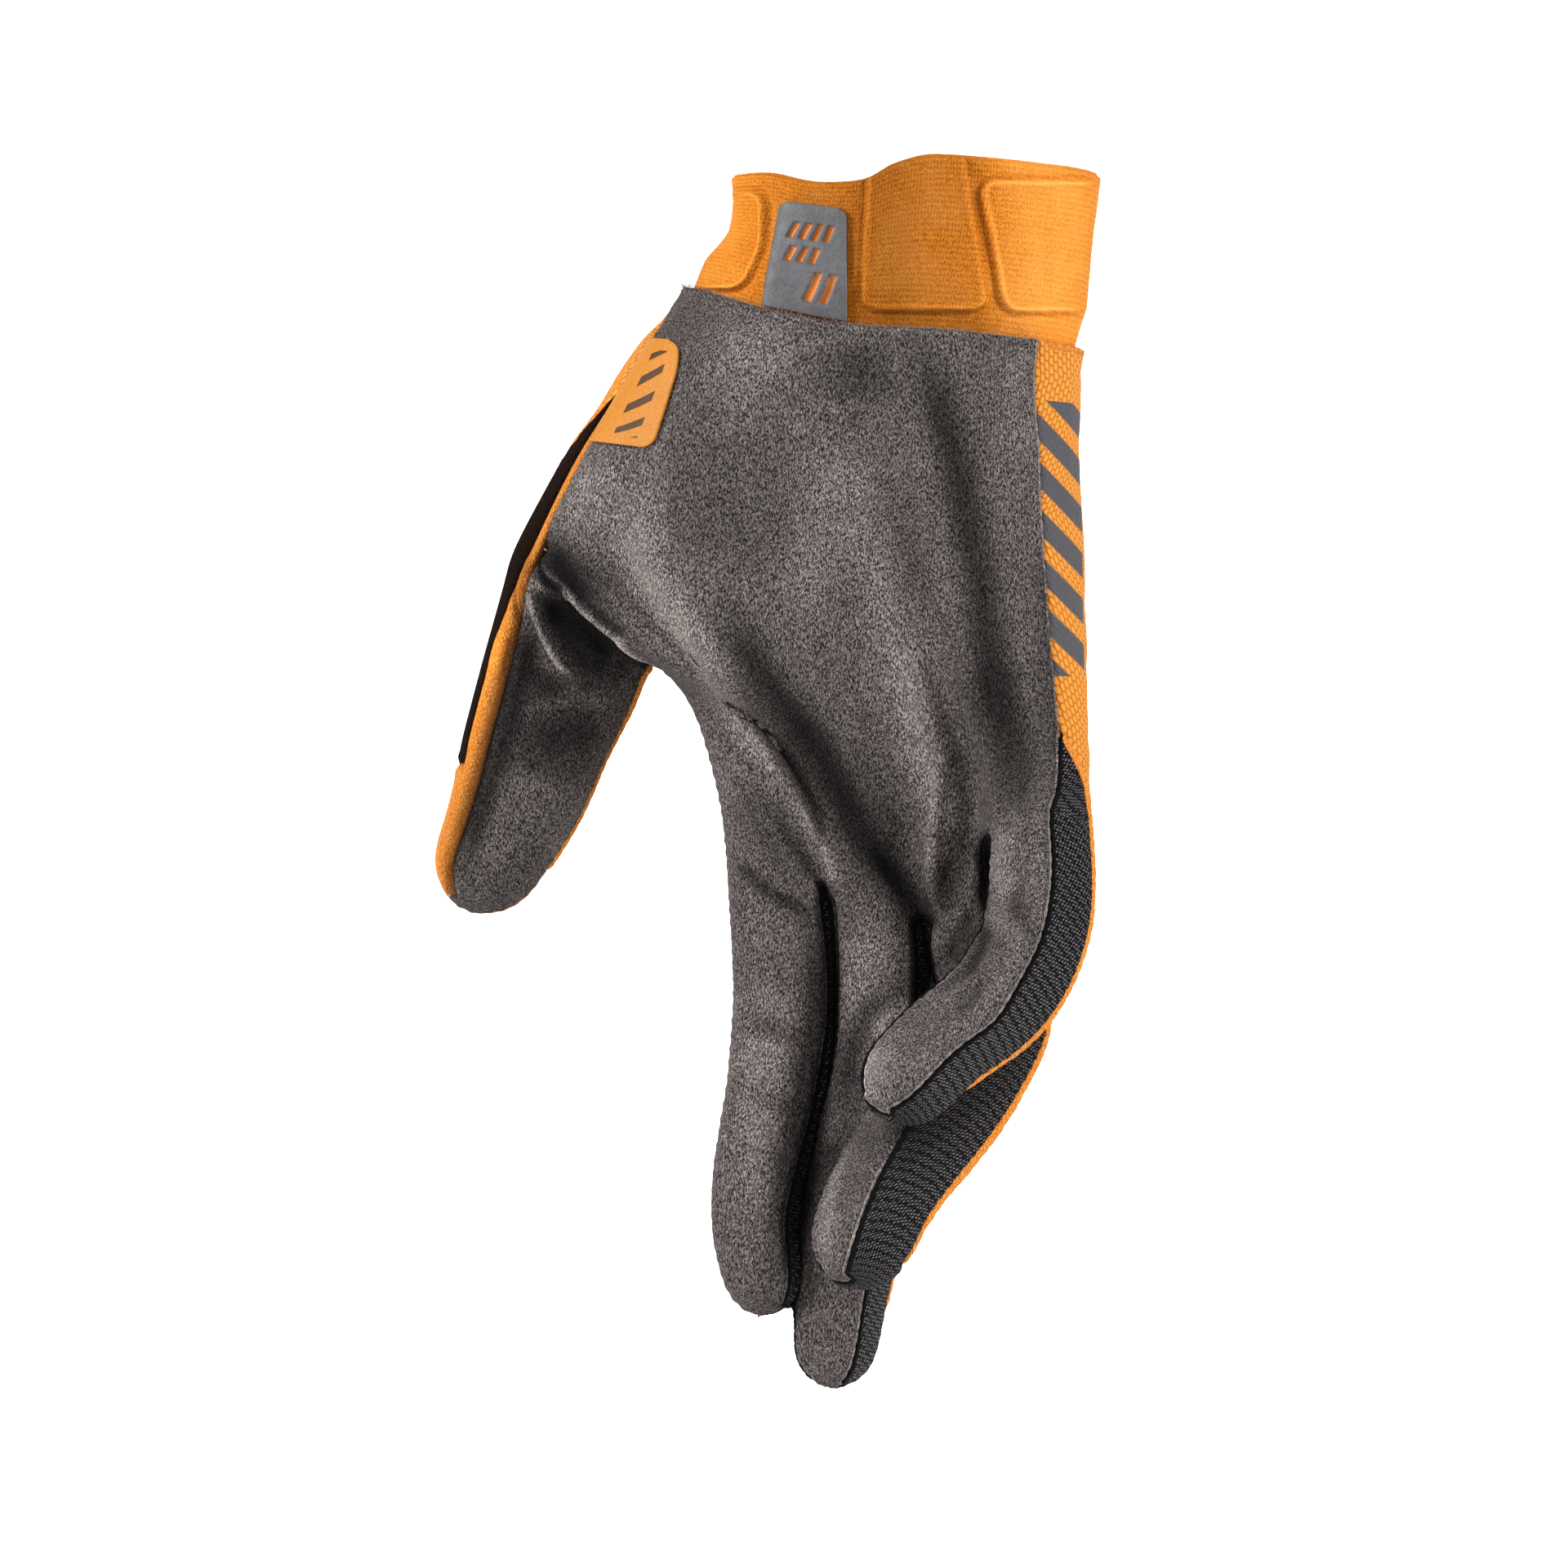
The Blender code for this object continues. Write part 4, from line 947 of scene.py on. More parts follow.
tree = skin_tree()
directions = outlook_directions(OUTLOOK_RAYS)
for panels, shade in ((SUEDE_PANELS, SUEDE_SHADE), (FINGER_SIDES, KNIT_SHADE),
                      (("thumb_side_panel",), SUEDE_SHADE)):
    for n in vertices_of(*panels):
        normal = Vector(out[n])
        side = normal.orthogonal().normalized()
        other = normal.cross(side)
        start = Vector(skin[n]) + normal * OUTLOOK_START
        closed = sum(tree.ray_cast(start, side * a + other * b + normal * c, OUTLOOK_REACH)[0]
                     is not None for a, b, c in directions)
        shut = (closed / OUTLOOK_RAYS) ** OUTLOOK_POWER
        painted_light_and_seam_tone[n] = max(DARKEST, painted_light_and_seam_tone[n] - shade * shut)

# Suede of the palm, of the palmar side of the fingers and of the thumb: pebbled microsuede with
# a short nap, grey brown, paler on its raised grains and in slow random patches. The painted light
# and shade that its points carry make it paler and darker, and even its grain where it is lit.
SUEDE_WALL = 0.0014
SUEDE_DARK = (0.010, 0.009, 0.009)
SUEDE_MIDDLE = (0.092, 0.079, 0.075)
SUEDE_PALE = (0.430, 0.366, 0.348)


class Value:
    """A number or colour that a cloth's nodes work out, which can be used in sums."""

    def __init__(self, cloth, socket):
        self.cloth, self.socket = cloth, socket

    def sum(self, operation, *values):
        return self.cloth.node("ShaderNodeMath", {"operation": operation},
                               dict(enumerate(values)))

    def __add__(self, other):
        return self.sum("ADD", self, other)

    def __sub__(self, other):
        return self.sum("SUBTRACT", self, other)

    def __rsub__(self, other):
        return self.sum("SUBTRACT", other, self)

    def __mul__(self, other):
        return self.sum("MULTIPLY", self, other)

    def __truediv__(self, other):
        return self.sum("DIVIDE", self, other)

    def __pow__(self, other):
        return self.sum("POWER", self, other)

    def __rpow__(self, other):
        return self.sum("POWER", other, self)

    def __abs__(self):
        return self.sum("ABSOLUTE", self)

    __radd__ = __add__
    __rmul__ = __mul__

    def fraction(self):
        return self.sum("FRACT", self)

    def whole(self):
        return self.sum("FLOOR", self)

    def sine(self):
        return self.sum("SINE", self)

    def largest(self, other):
        return self.sum("MAXIMUM", self, other)

    def ramp(self, low, high):
        """Returns a soft step from 0 at low to 1 at high."""
        return self.cloth.node("ShaderNodeMapRange", {"interpolation_type": "SMOOTHSTEP"},
                               {"Value": self, "From Min": low, "From Max": high})


class Cloth:
    """A cloth's material: its shader, and the nodes that vary it."""

    def __init__(self, name, slot, **fixed):
        self.slot = slot
        self.material = bpy.data.materials.new(name)
        self.material.use_nodes = True
        self.tree = self.material.node_tree
        self.shader = self.tree.nodes["Principled BSDF"]
        for socket, value in fixed.items():
            self.shader.inputs[socket.replace("_", " ")].default_value = value

    def node(self, kind, settings, sockets, output=0):
        """Adds a node with its settings and sockets and returns one of its outputs."""
        node = self.tree.nodes.new(kind)
        for name, value in settings.items():
            setattr(node, name, value)
        for name, value in sockets.items():
            if isinstance(value, Value):
                self.tree.links.new(value.socket, node.inputs[name])
            else:
                node.inputs[name].default_value = value
        return Value(self, node.outputs[output])

    def place(self, scale=(1, 1, 1), turn=0.0):
        """Returns the place in the frame, stretched by a scale and turned in the palm's plane."""
        here = self.node("ShaderNodeTexCoord", {}, {}, "Object")
        return self.node("ShaderNodeMapping", {}, {"Vector": here, "Scale": scale,
                                                   "Rotation": (0, turn, 0)})

    def noise(self, scale, detail=2.0, roughness=0.5, turn=0.0, distortion=0.0):
        """Returns noise whose grains have a scale, or one for each axis, per metre."""
        scale = scale if isinstance(scale, tuple) else (scale, scale, scale)
        return self.node("ShaderNodeTexNoise", {}, {
            "Vector": self.place(scale, turn), "Scale": 1.0, "Detail": detail,
            "Roughness": roughness, "Distortion": distortion})

    def painted(self, name="painted_tone"):
        """Returns the value that a piece's points carry."""
        return self.node("ShaderNodeAttribute", {"attribute_name": name}, {}, "Fac")

    def parts(self, vector):
        """Returns the three numbers of a vector."""
        return [self.node("ShaderNodeSeparateXYZ", {}, {0: vector}, k) for k in range(3)]

    def flat(self):
        """Returns the place on the flat cloth, across and down, in metres."""
        return self.parts(self.node("ShaderNodeUVMap", {"uv_map": "cloth"}, {}))[:2]

    def mix(self, share, first, second):
        """Mixes two colours."""
        four = [(*c, 1) if isinstance(c, tuple) and len(c) == 3 else c for c in (first, second)]
        return self.node("ShaderNodeMix", {"data_type": "RGBA"},
                         {0: share, 6: four[0], 7: four[1]}, 2)

    def scaled(self, colour, factor):
        """Returns a colour made lighter or darker by a factor."""
        return self.node("ShaderNodeVectorMath", {"operation": "SCALE"},
                         {0: colour, 3: factor})

    def feed(self, socket, value):
        self.tree.links.new(value.socket, self.shader.inputs[socket])

    def relief(self, height, distance, strength):
        """Shades a height, in shares of a distance in metres."""
        self.feed("Normal", self.node("ShaderNodeBump", {}, {
            "Height": height, "Distance": distance, "Strength": strength}))


def show(name, places, faces, cloth, flat=None, stands_for=(), painted=(), layer="painted_tone"):
    """Adds a smooth mesh object that rides on the glove. Each face's corners have a place on the
    flat cloth, and each point may have a painted value."""
    mesh = bpy.data.meshes.new(name)
    mesh.from_pydata(places, [], faces)
    if flat is not None:
        mesh.uv_layers.new(name="cloth").data.foreach_set("uv", np.asarray(flat).ravel())
    if len(painted):
        mesh.attributes.new(layer, "FLOAT", "POINT").data.foreach_set("value", painted)
    mesh.materials.append(cloth.material)
    mesh.shade_smooth()
    obj = added(name, mesh)
    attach(obj, "root")
    if stands_for:
        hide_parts(*stands_for)


def sewn_panel(panel, wall, cloth):
    """Cuts one panel out of the skin, with the thickness of its cloth turned inwards."""
    faces = panel_ids == PANELS.index(panel)
    own = quads[faces]
    used, numbered = np.unique(own, return_inverse=True)
    numbered = numbered.reshape(-1, 4)
    count = len(used)
    outer = skin[used]
    inner = outer - out[used] * wall
    order = {n: k for k, n in enumerate(used.tolist())}
    spots = np.zeros((count, 2))
    spots[numbered.ravel()] = flat_places[faces].reshape(-1, 2)
    rim = [(order[b], order[a], order[a] + count, order[b] + count)
           for loop in panel_borders[panel] for a, b, _ in loop]
    all_faces = numbered.tolist() + (numbered[:, ::-1] + count).tolist() + rim
    flat = np.concatenate([flat_places[faces].reshape(-1, 2),
                           flat_places[faces][:, ::-1].reshape(-1, 2),
                           np.array([spots[n % count] for face in rim for n in face])])
    show(f"{panel}_cloth", np.concatenate([outer, inner]).tolist(), all_faces, cloth, flat,
         (panel,), np.tile(painted_light_and_seam_tone[used], 2))


suede = Cloth("suede", "suede", Roughness=0.95, Sheen_Weight=0.04, Sheen_Roughness=0.5,
              Sheen_Tint=(0.8, 0.76, 0.74, 1), Specular_IOR_Level=0.08)
grain = (suede.noise((4300, 4300, 1900), 1.5, 0.55, 0.25, 0.55) * 0.85
         + suede.noise((7500, 7500, 5200), 1.0) * 0.15)
rubbed = suede.noise((150, 150, 90), 4.0, 0.6)
tone = suede.mix(grain.ramp(0.37, 0.72), SUEDE_DARK, SUEDE_PALE)
# painted light and shade, in stops, that the points carry
painted_light = suede.painted()
tone = suede.mix(0.10 + painted_light.ramp(0.35, 1.1) * 0.55, tone, SUEDE_MIDDLE)
brightness = 2.0 ** (painted_light * 1.45 + (rubbed - 0.5) * 0.8 + 0.40)
suede.feed("Base Color", suede.scaled(tone, brightness))
suede.relief(grain, 0.0022, 1.0)
for panel in SUEDE_PANELS:
    sewn_panel(panel, SUEDE_WALL, suede)

# Orange knitted mesh of the back, the finger backs and the outer edge of the hand: raised round
# cells in staggered rows. A grey print of plain slanted bars lies on the outer edge.
MESH_WALL = 0.0012
CELL_WIDTH = 0.0013
CELL_HEIGHT = 0.0016
ORANGE_CELL = (0.880, 0.340, 0.048)
ORANGE_GROOVE = (0.620, 0.160, 0.010)
PRINT_GREY = (0.085, 0.085, 0.098)
ORANGE_SHEEN = {"Sheen_Roughness": 0.4, "Sheen_Tint": (1, 0.6, 0.25, 1)}


def slanted_bars(x, z, pitch, width, slope, low, high):
    """Returns the mask of a row of plain slanted bars between two heights."""
    along = (z + x * slope) / pitch
    bars = 1 - abs(along.fraction() - 0.5).ramp(width / 2 - 0.03, width / 2 + 0.03)
    inside = z.ramp(low - 0.0001, low + 0.0001) * (1 - z.ramp(high - 0.0001, high + 0.0001))
    return bars * inside


mesh_knit = Cloth("orange_mesh", "orange_mesh", Roughness=0.72, Sheen_Weight=0.12,
                  Specular_IOR_Level=0.2, **ORANGE_SHEEN)
across, down = mesh_knit.flat()
column = across / CELL_WIDTH
row = down / CELL_HEIGHT + column.whole() * 0.5
cell = (abs(column.fraction() - 0.5) ** 3 + abs(row.fraction() - 0.5) ** 3) ** (1 / 3)
raised = 1 - cell.ramp(0.30, 0.54)
fuzz = mesh_knit.noise(6000)
tone = mesh_knit.mix(raised * 0.8 + fuzz * 0.35, ORANGE_GROOVE, ORANGE_CELL)
x, y, z = mesh_knit.parts(mesh_knit.place())
edge = x.ramp(0.0262, 0.0266) * (1 - x.ramp(0.0352, 0.0356)) * (1 - y.ramp(0.004, 0.005))
bars = slanted_bars(x, z, 0.0082, 0.56, 0.9, -0.0640, -0.0155) * edge
sliver = slanted_bars(x, z, 0.0110, 0.90, 0.2, -0.0975, -0.0865) * x.ramp(0.0362, 0.0365)
print_mask = bars.largest(sliver)
mesh_knit.feed("Base Color", mesh_knit.mix(print_mask, tone, PRINT_GREY))
mesh_knit.relief(raised * (1 - print_mask * 0.5) + fuzz * 0.25, 0.00030, 0.9)
sewn_panel("back_panel", MESH_WALL, mesh_knit)

# Orange brushed knit along the thumb, rolled into a ridge beside the palm, and over the thumb's
# inner side and tip: the same thread, without the cells.
rolled_knit = Cloth("orange_rolled_knit", "orange_mesh", Roughness=0.8, Sheen_Weight=0.05,
                    Specular_IOR_Level=0.2, **ORANGE_SHEEN)
fuzz = rolled_knit.noise((3600, 3600, 2600), 3.0, 0.6)
cells = rolled_knit.node("ShaderNodeTexVoronoi", {}, {
    "Vector": rolled_knit.place((1500, 1500, 1150), 0.35), "Scale": 1.0, "Randomness": 0.6})
flecks = 1 - cells.ramp(0.15, 0.55)
tone = rolled_knit.mix(fuzz.ramp(0.32, 0.66), (0.480, 0.105, 0.005), (0.800, 0.290, 0.035))
tone = rolled_knit.mix(flecks * 0.55, tone, (0.950, 0.480, 0.120))
# the tone in stops that the points carry lightens and darkens it: painted light and shade on the
# ridge
rolled_knit.feed("Base Color", rolled_knit.scaled(tone, 2.0 ** rolled_knit.painted()))
rolled_knit.relief(fuzz * 0.6 + flecks * 0.6, 0.00040, 0.9)
for panel in ("thumb_side_panel", "thumb_back_panel"):
    sewn_panel(panel, MESH_WALL, rolled_knit)

# Wiping panel on the back of the thumb: a dark brushed cloth, sewn between the rolled ridge and
# the orange knit.
wipe_cloth = Cloth("wipe_cloth", "wipe_cloth", Roughness=0.95, Sheen_Weight=0.01,
                   Sheen_Roughness=0.5, Specular_IOR_Level=0.02)
fuzz = wipe_cloth.noise((3000, 3000, 2200), 3.0, 0.6)
wipe_cloth.feed("Base Color", wipe_cloth.mix(fuzz.ramp(0.35, 0.65), (0.003, 0.001, 0.0005),
                                             (0.016, 0.007, 0.004)))
wipe_cloth.relief(fuzz, 0.00030, 0.8)
sewn_panel("thumb_wipe_panel", SUEDE_WALL, wipe_cloth)

# Dark pique knit between the fingers and on their outer sides: fine pearl stitches, and across
# the finger a wavering row of small open holes between every two ribs.
RIB_PITCH = 0.0018
HOLE_PITCH = 0.0023
PEARL_PITCH = 0.00072
KNIT_DARK = (0.004, 0.0035, 0.004)
KNIT_THREAD = (0.290, 0.265, 0.280)
KNIT_SLANT = math.radians(28)

pique = Cloth("dark_mesh", "dark_mesh", Roughness=0.7, Sheen_Weight=0.02,
              Sheen_Roughness=0.4, Sheen_Tint=(0.8, 0.8, 0.9, 1), Specular_IOR_Level=0.12)
across, down = pique.flat()
along = across * math.cos(KNIT_SLANT) + down * math.sin(KNIT_SLANT)
over = down * math.cos(KNIT_SLANT) - across * math.sin(KNIT_SLANT)
wander = pique.noise(600, 1.0)
waver = (along / HOLE_PITCH * (2 * math.pi)).sine()
line = over / RIB_PITCH + waver * 0.09 + (wander - 0.5) * 0.4
from_groove = abs(line.fraction() - 0.5)
dash = (along / HOLE_PITCH * (4 * math.pi) + line.whole() * math.pi).sine() * 0.5 + 0.5
groove = 1 - (from_groove / (0.045 + dash * 0.23)).ramp(0.4, 1.2)
pearls = abs((along / PEARL_PITCH * math.pi).sine()) * abs(
    (over / PEARL_PITCH * math.pi + along / PEARL_PITCH * 1.4).sine())
thread = pique.noise(4200, 2.0, 0.6)
surface = pearls * 1.3 + thread * 0.5 - groove * 0.9
tone = pique.mix(surface.ramp(0.40, 1.45), KNIT_DARK, KNIT_THREAD)
# painted shade that the points carry darkens it, deepest between the fingers; the cords carry a
# fixed darker tone
pique.feed("Base Color", pique.scaled(tone, 2.0 ** pique.painted()))
pique.relief(surface, 0.00080, 1.0)
for panel in FINGER_SIDES:
    sewn_panel(panel, MESH_WALL, pique)

# Turned edges of the seams: the suede's edge is rolled over its seam allowance and shows as a
# fine lip, painted paler and following the painted light and shade of the suede beside it, and
# the knit's overlocked edge runs beside it as a thin dark cord.
LIP_RADIUS = 0.00042
CORD_RADIUS = 0.00048
BACK_LIP_RADIUS = 0.00125
BACK_LIP_END = 0.015
THUMB_LIP_RADIUS = 0.00080
THUMB_LIP_END = -0.098
HEM_RADIUS = 0.00085
EDGE_STEP = 0.00042
ROLL_SIDES = 8
SHORTEST = 6


def runs(panel, wanted):
    """Returns the stretches of a panel's border beyond which lies one of the wanted panels."""
    found = []
    for loop in panel_borders[panel]:
        flags = [beyond in wanted for _, _, beyond in loop]
        if all(flags):
            found.append([a for a, _, _ in loop] + [loop[0][0]])
            continue
        first = flags.index(False)
        run = []
        for a, b, beyond in loop[first:] + loop[:first]:
            if beyond in wanted:
                run = (run or [a]) + [b]
            else:
                found.append(run)
                run = []
        found.append(run)
    return long_enough(found)


def long_enough(stretches):
    """Returns the stretches that are long enough to be sewn along."""
    return [stretch for stretch in stretches if len(stretch) > SHORTEST]


def evened(values, times=2):
    """Returns a line's values, each averaged with its neighbours."""
    for _ in range(times):
        values = np.concatenate([values[:1], (values[:-2] + 2 * values[1:-1] + values[2:]) / 4,
                                 values[-1:]])
    return values


def edge_path(run, step):
    """Returns points, three directions, lengths and tones of the cloth along a border."""
    line = evened(skin[run], 3)
    normal = evened(out[run], 3)
    passed = np.concatenate([[0], np.cumsum(np.linalg.norm(np.diff(line, axis=0), axis=1))])
    stops = np.linspace(0, passed[-1], max(4, int(passed[-1] / step)))
    line, normal = (np.stack([np.interp(stops, passed, column) for column in values.T], axis=1)
                    for values in (line, normal))
    normal /= np.linalg.norm(normal, axis=1)[:, None]
    ahead = np.gradient(line, axis=0)
    ahead /= np.maximum(np.linalg.norm(ahead, axis=1), 1e-9)[:, None]
    aside = np.cross(normal, ahead)
    shade = np.interp(stops, passed, evened(painted_light_and_seam_tone[run], 3))
    return line, normal, ahead, aside, stops, shade


def rolled_edges(name, stretches, radius, inset, rise, pitch, depth, cloth, tone=0.0, taper=3,
                 follow=0.0):
    """Adds puckered rolls along stretches of border as one piece, whose tone in stops follows
    the painted light and shade of the cloth beside it by a share."""
    places, faces, tones = [], [], []
    for run in stretches:
        line, normal, ahead, aside, stops, shade = edge_path(run, EDGE_STEP)
        tones += (tone + follow * (shade - SEAM_TONE)).tolist() * ROLL_SIDES
        centre = line + aside * inset + normal * rise
        swell = 1 - depth * np.cos(math.pi * stops / pitch) ** 8
        ends = np.minimum(np.arange(len(stops)), np.arange(len(stops))[::-1])
        swell *= np.clip((ends + 0.2) / taper, 0, 1) ** 0.5
        start = len(places)
        for k in range(ROLL_SIDES):
            turn = 2 * math.pi * k / ROLL_SIDES
            places += (centre + (aside * math.cos(turn) + normal * math.sin(turn))
                       * (radius * swell[:, None])).tolist()
        count = len(stops)
        lines = [start + k * count for k in range(ROLL_SIDES)]
        for a, b in zip(lines, lines[1:] + lines[:1]):
            faces += [(a + i, a + i + 1, b + i + 1, b + i) for i in range(count - 1)]
        faces += [lines, [a + count - 1 for a in lines[::-1]]]
    show(name, places, faces, cloth, painted=tones)


suede_stretches = (runs("palm_panel", FINGER_SIDES + ["back_panel"])
                   + runs("thumb_palm_panel", ["thumb_back_panel"]))
rolled_edges("suede_seam_lips", suede_stretches, LIP_RADIUS, 0.00035, -0.00002, STITCH_PITCH, 0.35,
             suede, 1.1, 3, 0.9)
knit_stretches = [run for panel in FINGER_SIDES for run in runs(panel, ["palm_panel"])]
rolled_edges("knit_seam_cords", knit_stretches, CORD_RADIUS, 0.00045, 0.00010, 0.0011, 0.35, pique,
             -2.5)
tips = np.array([tuple(tip) for _, tip in fingers])
back_stretches = []
for panel in FINGER_SIDES:
    for run in runs("back_panel", [panel]):
        back_stretches.append([])
        for n in run:
            if np.linalg.norm(tips - skin[n], axis=1).min() > BACK_LIP_END:
                back_stretches[-1].append(n)
            else:
                back_stretches.append([])
rolled_edges("back_seam_lips", long_enough(back_stretches), BACK_LIP_RADIUS, -0.00040, -0.00030,
             STITCH_PITCH, 0.10, rolled_knit, 0.25, 8)


def parts_above(stretches, low):
    """Returns the parts of stretches of border that lie above a height."""
    return long_enough([[n for n in run if skin[n][2] > low] for run in stretches])


thumb_runs = runs("thumb_back_panel", ["thumb_palm_panel"])
rolled_edges("thumb_seam_lip", parts_above(thumb_runs, THUMB_LIP_END), THUMB_LIP_RADIUS, 0.00010,
             0.00025, STITCH_PITCH, 0.10, rolled_knit)
rolled_edges("palm_hem", runs("palm_panel", [None]), HEM_RADIUS, 0.00060, -HEM_RADIUS * 0.75,
             0.0045, 0.05, suede)
rolled_edges("back_hem", runs("back_panel", [None]), HEM_RADIUS, 0.00060, -HEM_RADIUS * 0.75,
             0.0040, 0.12, rolled_knit)

# Patch on the palm beside the wrist: a smooth matt orange film, pressed on the suede, with a row
# of plain slanted strokes.
PATCH_THICKNESS = 0.00050
PATCH_INSIDE = 0.0002
PATCH_OUTLINE = [
    # across and up in mm as the camera sees them: right border, then left border
    (-37.9, -4.1, -41.3, -3.9),
    (-36.6, -5.1, -41.9, -5.0),
    (-36.2, -6.6, -42.6, -6.2),
    (-36.6, -9.8, -44.3, -9.3),
    (-37.9, -14.2, -46.9, -13.6),
    (-39.2, -18.2, -49.2, -17.6),
    (-40.2, -21.2, -50.8, -20.6),
    (-41.0, -22.4, -51.3, -21.4),
    (-42.4, -23.1, -51.7, -22.1),
]
PATCH_ROWS = 46
PATCH_STEPS = 34

film = Cloth("print_orange", "print_orange", Roughness=0.55, Specular_IOR_Level=0.2)
across, down = film.flat()
strokes = 1 - abs((down * 7.0 + across * 1.4).fraction() - 0.5).ramp(0.15, 0.21)
strokes = strokes * down.ramp(0.225, 0.235) * (1 - down.ramp(0.78, 0.79))
strokes = strokes * across.ramp(0.30, 0.315) * (1 - across.ramp(0.70, 0.715))
speckle = film.noise(2500)
tone = film.mix(speckle.ramp(0.3, 0.7), (0.540, 0.200, 0.024), (0.640, 0.250, 0.036))
film.feed("Base Color", film.mix(strokes * 0.95, tone, (0.060, 0.030, 0.016)))
film.relief(speckle * 0.15 - strokes, 0.00012, 0.8)


def plate_faces(rows, columns):
    """Returns the faces of a plate: a grid of outer points, then the same grid of inner ones."""
    width = columns + 1
    back = rows * width
    faces = []
    for r in range(rows - 1):
        for c in range(columns):
            a = r * width + c
            faces.append((a, a + width, a + width + 1, a + 1))
            faces.append((back + a, back + a + 1, back + a + width + 1, back + a + width))
    last, right = (rows - 1) * width, columns
    for first, step, count in ((0, 1, columns), (last + right, -1, columns),
                               (last, -width, rows - 1), (right, width, rows - 1)):
        for a in range(first, first + step * count, step):
            faces.append((a, a + step, back + a + step, back + a))
    return faces


def plate(name, rows, columns, outline, at, depth_at, cloth, stands_for, painted=(), layer="painted_tone"):
    """Adds a thin plate between the borders of an outline. at gives the place and the outward
    direction on what lies under it, and depth_at its height there on the outer or inner face."""
    places, spots = [], []
    for outer in (True, False):
        for v in rows:
            first_x, first_z, last_x, last_z = spline(outline, v)
            for c in range(columns + 1):
                t = c / columns
                spot, normal = at(first_x + (last_x - first_x) * t,
                                  first_z + (last_z - first_z) * t)
                places.append(tuple(spot + normal * depth_at(t, v, outer)))
                spots.append((t, v))
    faces = plate_faces(len(rows), columns)
    show(name, places, faces, cloth, [spots[n] for face in faces for n in face], stands_for,
         painted, layer)


def on_palm(x, z):
    """Returns the place and outward direction of the skin that the camera sees."""
    spot = seen_on_skin(tree, x, z)
    return spot, tree.find_nearest(spot)[1]


tree = skin_tree()
plate("palm_patch_film", [r / PATCH_ROWS for r in range(PATCH_ROWS + 1)], PATCH_STEPS,
      [(i / (len(PATCH_OUTLINE) - 1), *row[2:], *row[:2]) for i, row in enumerate(PATCH_OUTLINE)],
      on_palm, lambda t, v, outer: PATCH_INSIDE + (PATCH_THICKNESS if outer else 0.0), film,
      ("palm_patch",))

# Cuff: a tube of fine ribbed stretch knit, with three padded fields pressed into its front and
# its lower end sewn inside the hand. The front edge dips beside the tab.
CUFF_WALL = 0.0018
CUFF_TUCK = 0.006
TUCK_INSET = 0.0038
CUFF_HEIGHT = 0.0263
PIECE_GAP = 0.0003
PAD_RELIEF = 0.00055
CUFF_COLUMNS = 540
CUFF_ROWS = 78
CUFF_INNER_ROWS = 14
KNIT_RIB = 0.00085
KNIT_LOOP = 0.0005
CUFF_PALE = (0.860, 0.300, 0.020)
CUFF_DEEP = (0.420, 0.090, 0.001)
# pale orange towards which the cuff turns where it is painted lit, and in random patches
CUFF_HIGHLIGHT_AND_PATCHES = (0.900, 0.420, 0.100)
# painted light and shade across the cuff's front: paler at its sides, darker in its middle
CUFF_PAINTED_LIGHT = [
    # across in mm as the camera sees it, tone in stops of painted light and shade
    (-34, 0.05),
    (-27, 0.10),
    (-20, -0.20),
    (-5, -0.60),
    (1, -0.85),
    (8, -0.50),
    (16, -0.30),
    (21, 0.15),
    (30, 0.35),
    (38, 0.15),
]
CUFF_TOP_EDGE = [
    # across, height as a share of CUFF_HEIGHT
    (-1.0, 0.94),
    (-0.80, 0.92),
    (-0.58, 0.85),
    (-0.40, 0.84),
    (-0.28, 0.86),
    (-0.14, 0.95),
    (0.04, 1.01),
    (0.20, 1.01),
    (0.70, 0.97),
    (1.0, 0.95),
]
CUFF_SECTIONS = [
    # rise, middle across, half width, half depth
    (0.0, 0.0, 1.0, 1.0),
    (0.25, 0.060, 0.955, 0.965),
    (0.5, 0.125, 0.910, 0.945),
    (0.75, 0.150, 0.910, 0.945),
    (1.0, 0.162, 0.926, 0.96),
]
PADS = [
    # across of the left and the right border, in mm as the camera sees them, from the lowest
    # row of each padded field to its highest
    [(5.0, -60.0, -24.6), (12.8, -60.0, -21.2), (22.5, -60.0, -20.8)],
    [(1.2, -3.0, 17.6), (3.0, -3.6, 18.0), (23.6, -2.8, 15.0), (40.0, -2.6, 13.0)],
    [(1.0, 21.0, 46.8), (12.8, 19.0, 46.3), (20.0, 17.6, 47.4), (24.4, 17.0, 48.4)],
]
PAD_CORNER = 2.6
PAD_EDGE = 0.9
PAD_RIDGE = 0.0006
PAD_CREASE = 0.0003
# painted highlight on each padded field's rim and painted shadow in the crease round it, in stops
PAD_EDGE_PAINTED_LIGHT = (0.45, -0.25)
PAD_FRONT = -0.003
PAD_FADE = 0.009
TOP_ROUNDING = 0.0007
TOP_ROLL = 0.012


def in_step(value, low, high, soft):
    """Returns 1 well between low and high, 0 well outside, and a soft step at each end."""
    rise, fall = clamp((value - low) / soft + 0.5), clamp((high - value) / soft + 0.5)
    return rise * rise * (3 - 2 * rise) * fall * fall * (3 - 2 * fall)


def as_seen(point):
    """Returns where the camera sees a point, in mm across and up in the plane of the wrist."""
    seen = EYE + (point - EYE) * (EYE.y / (EYE.y - point.y))
    return seen.x * 1000, seen.z * 1000


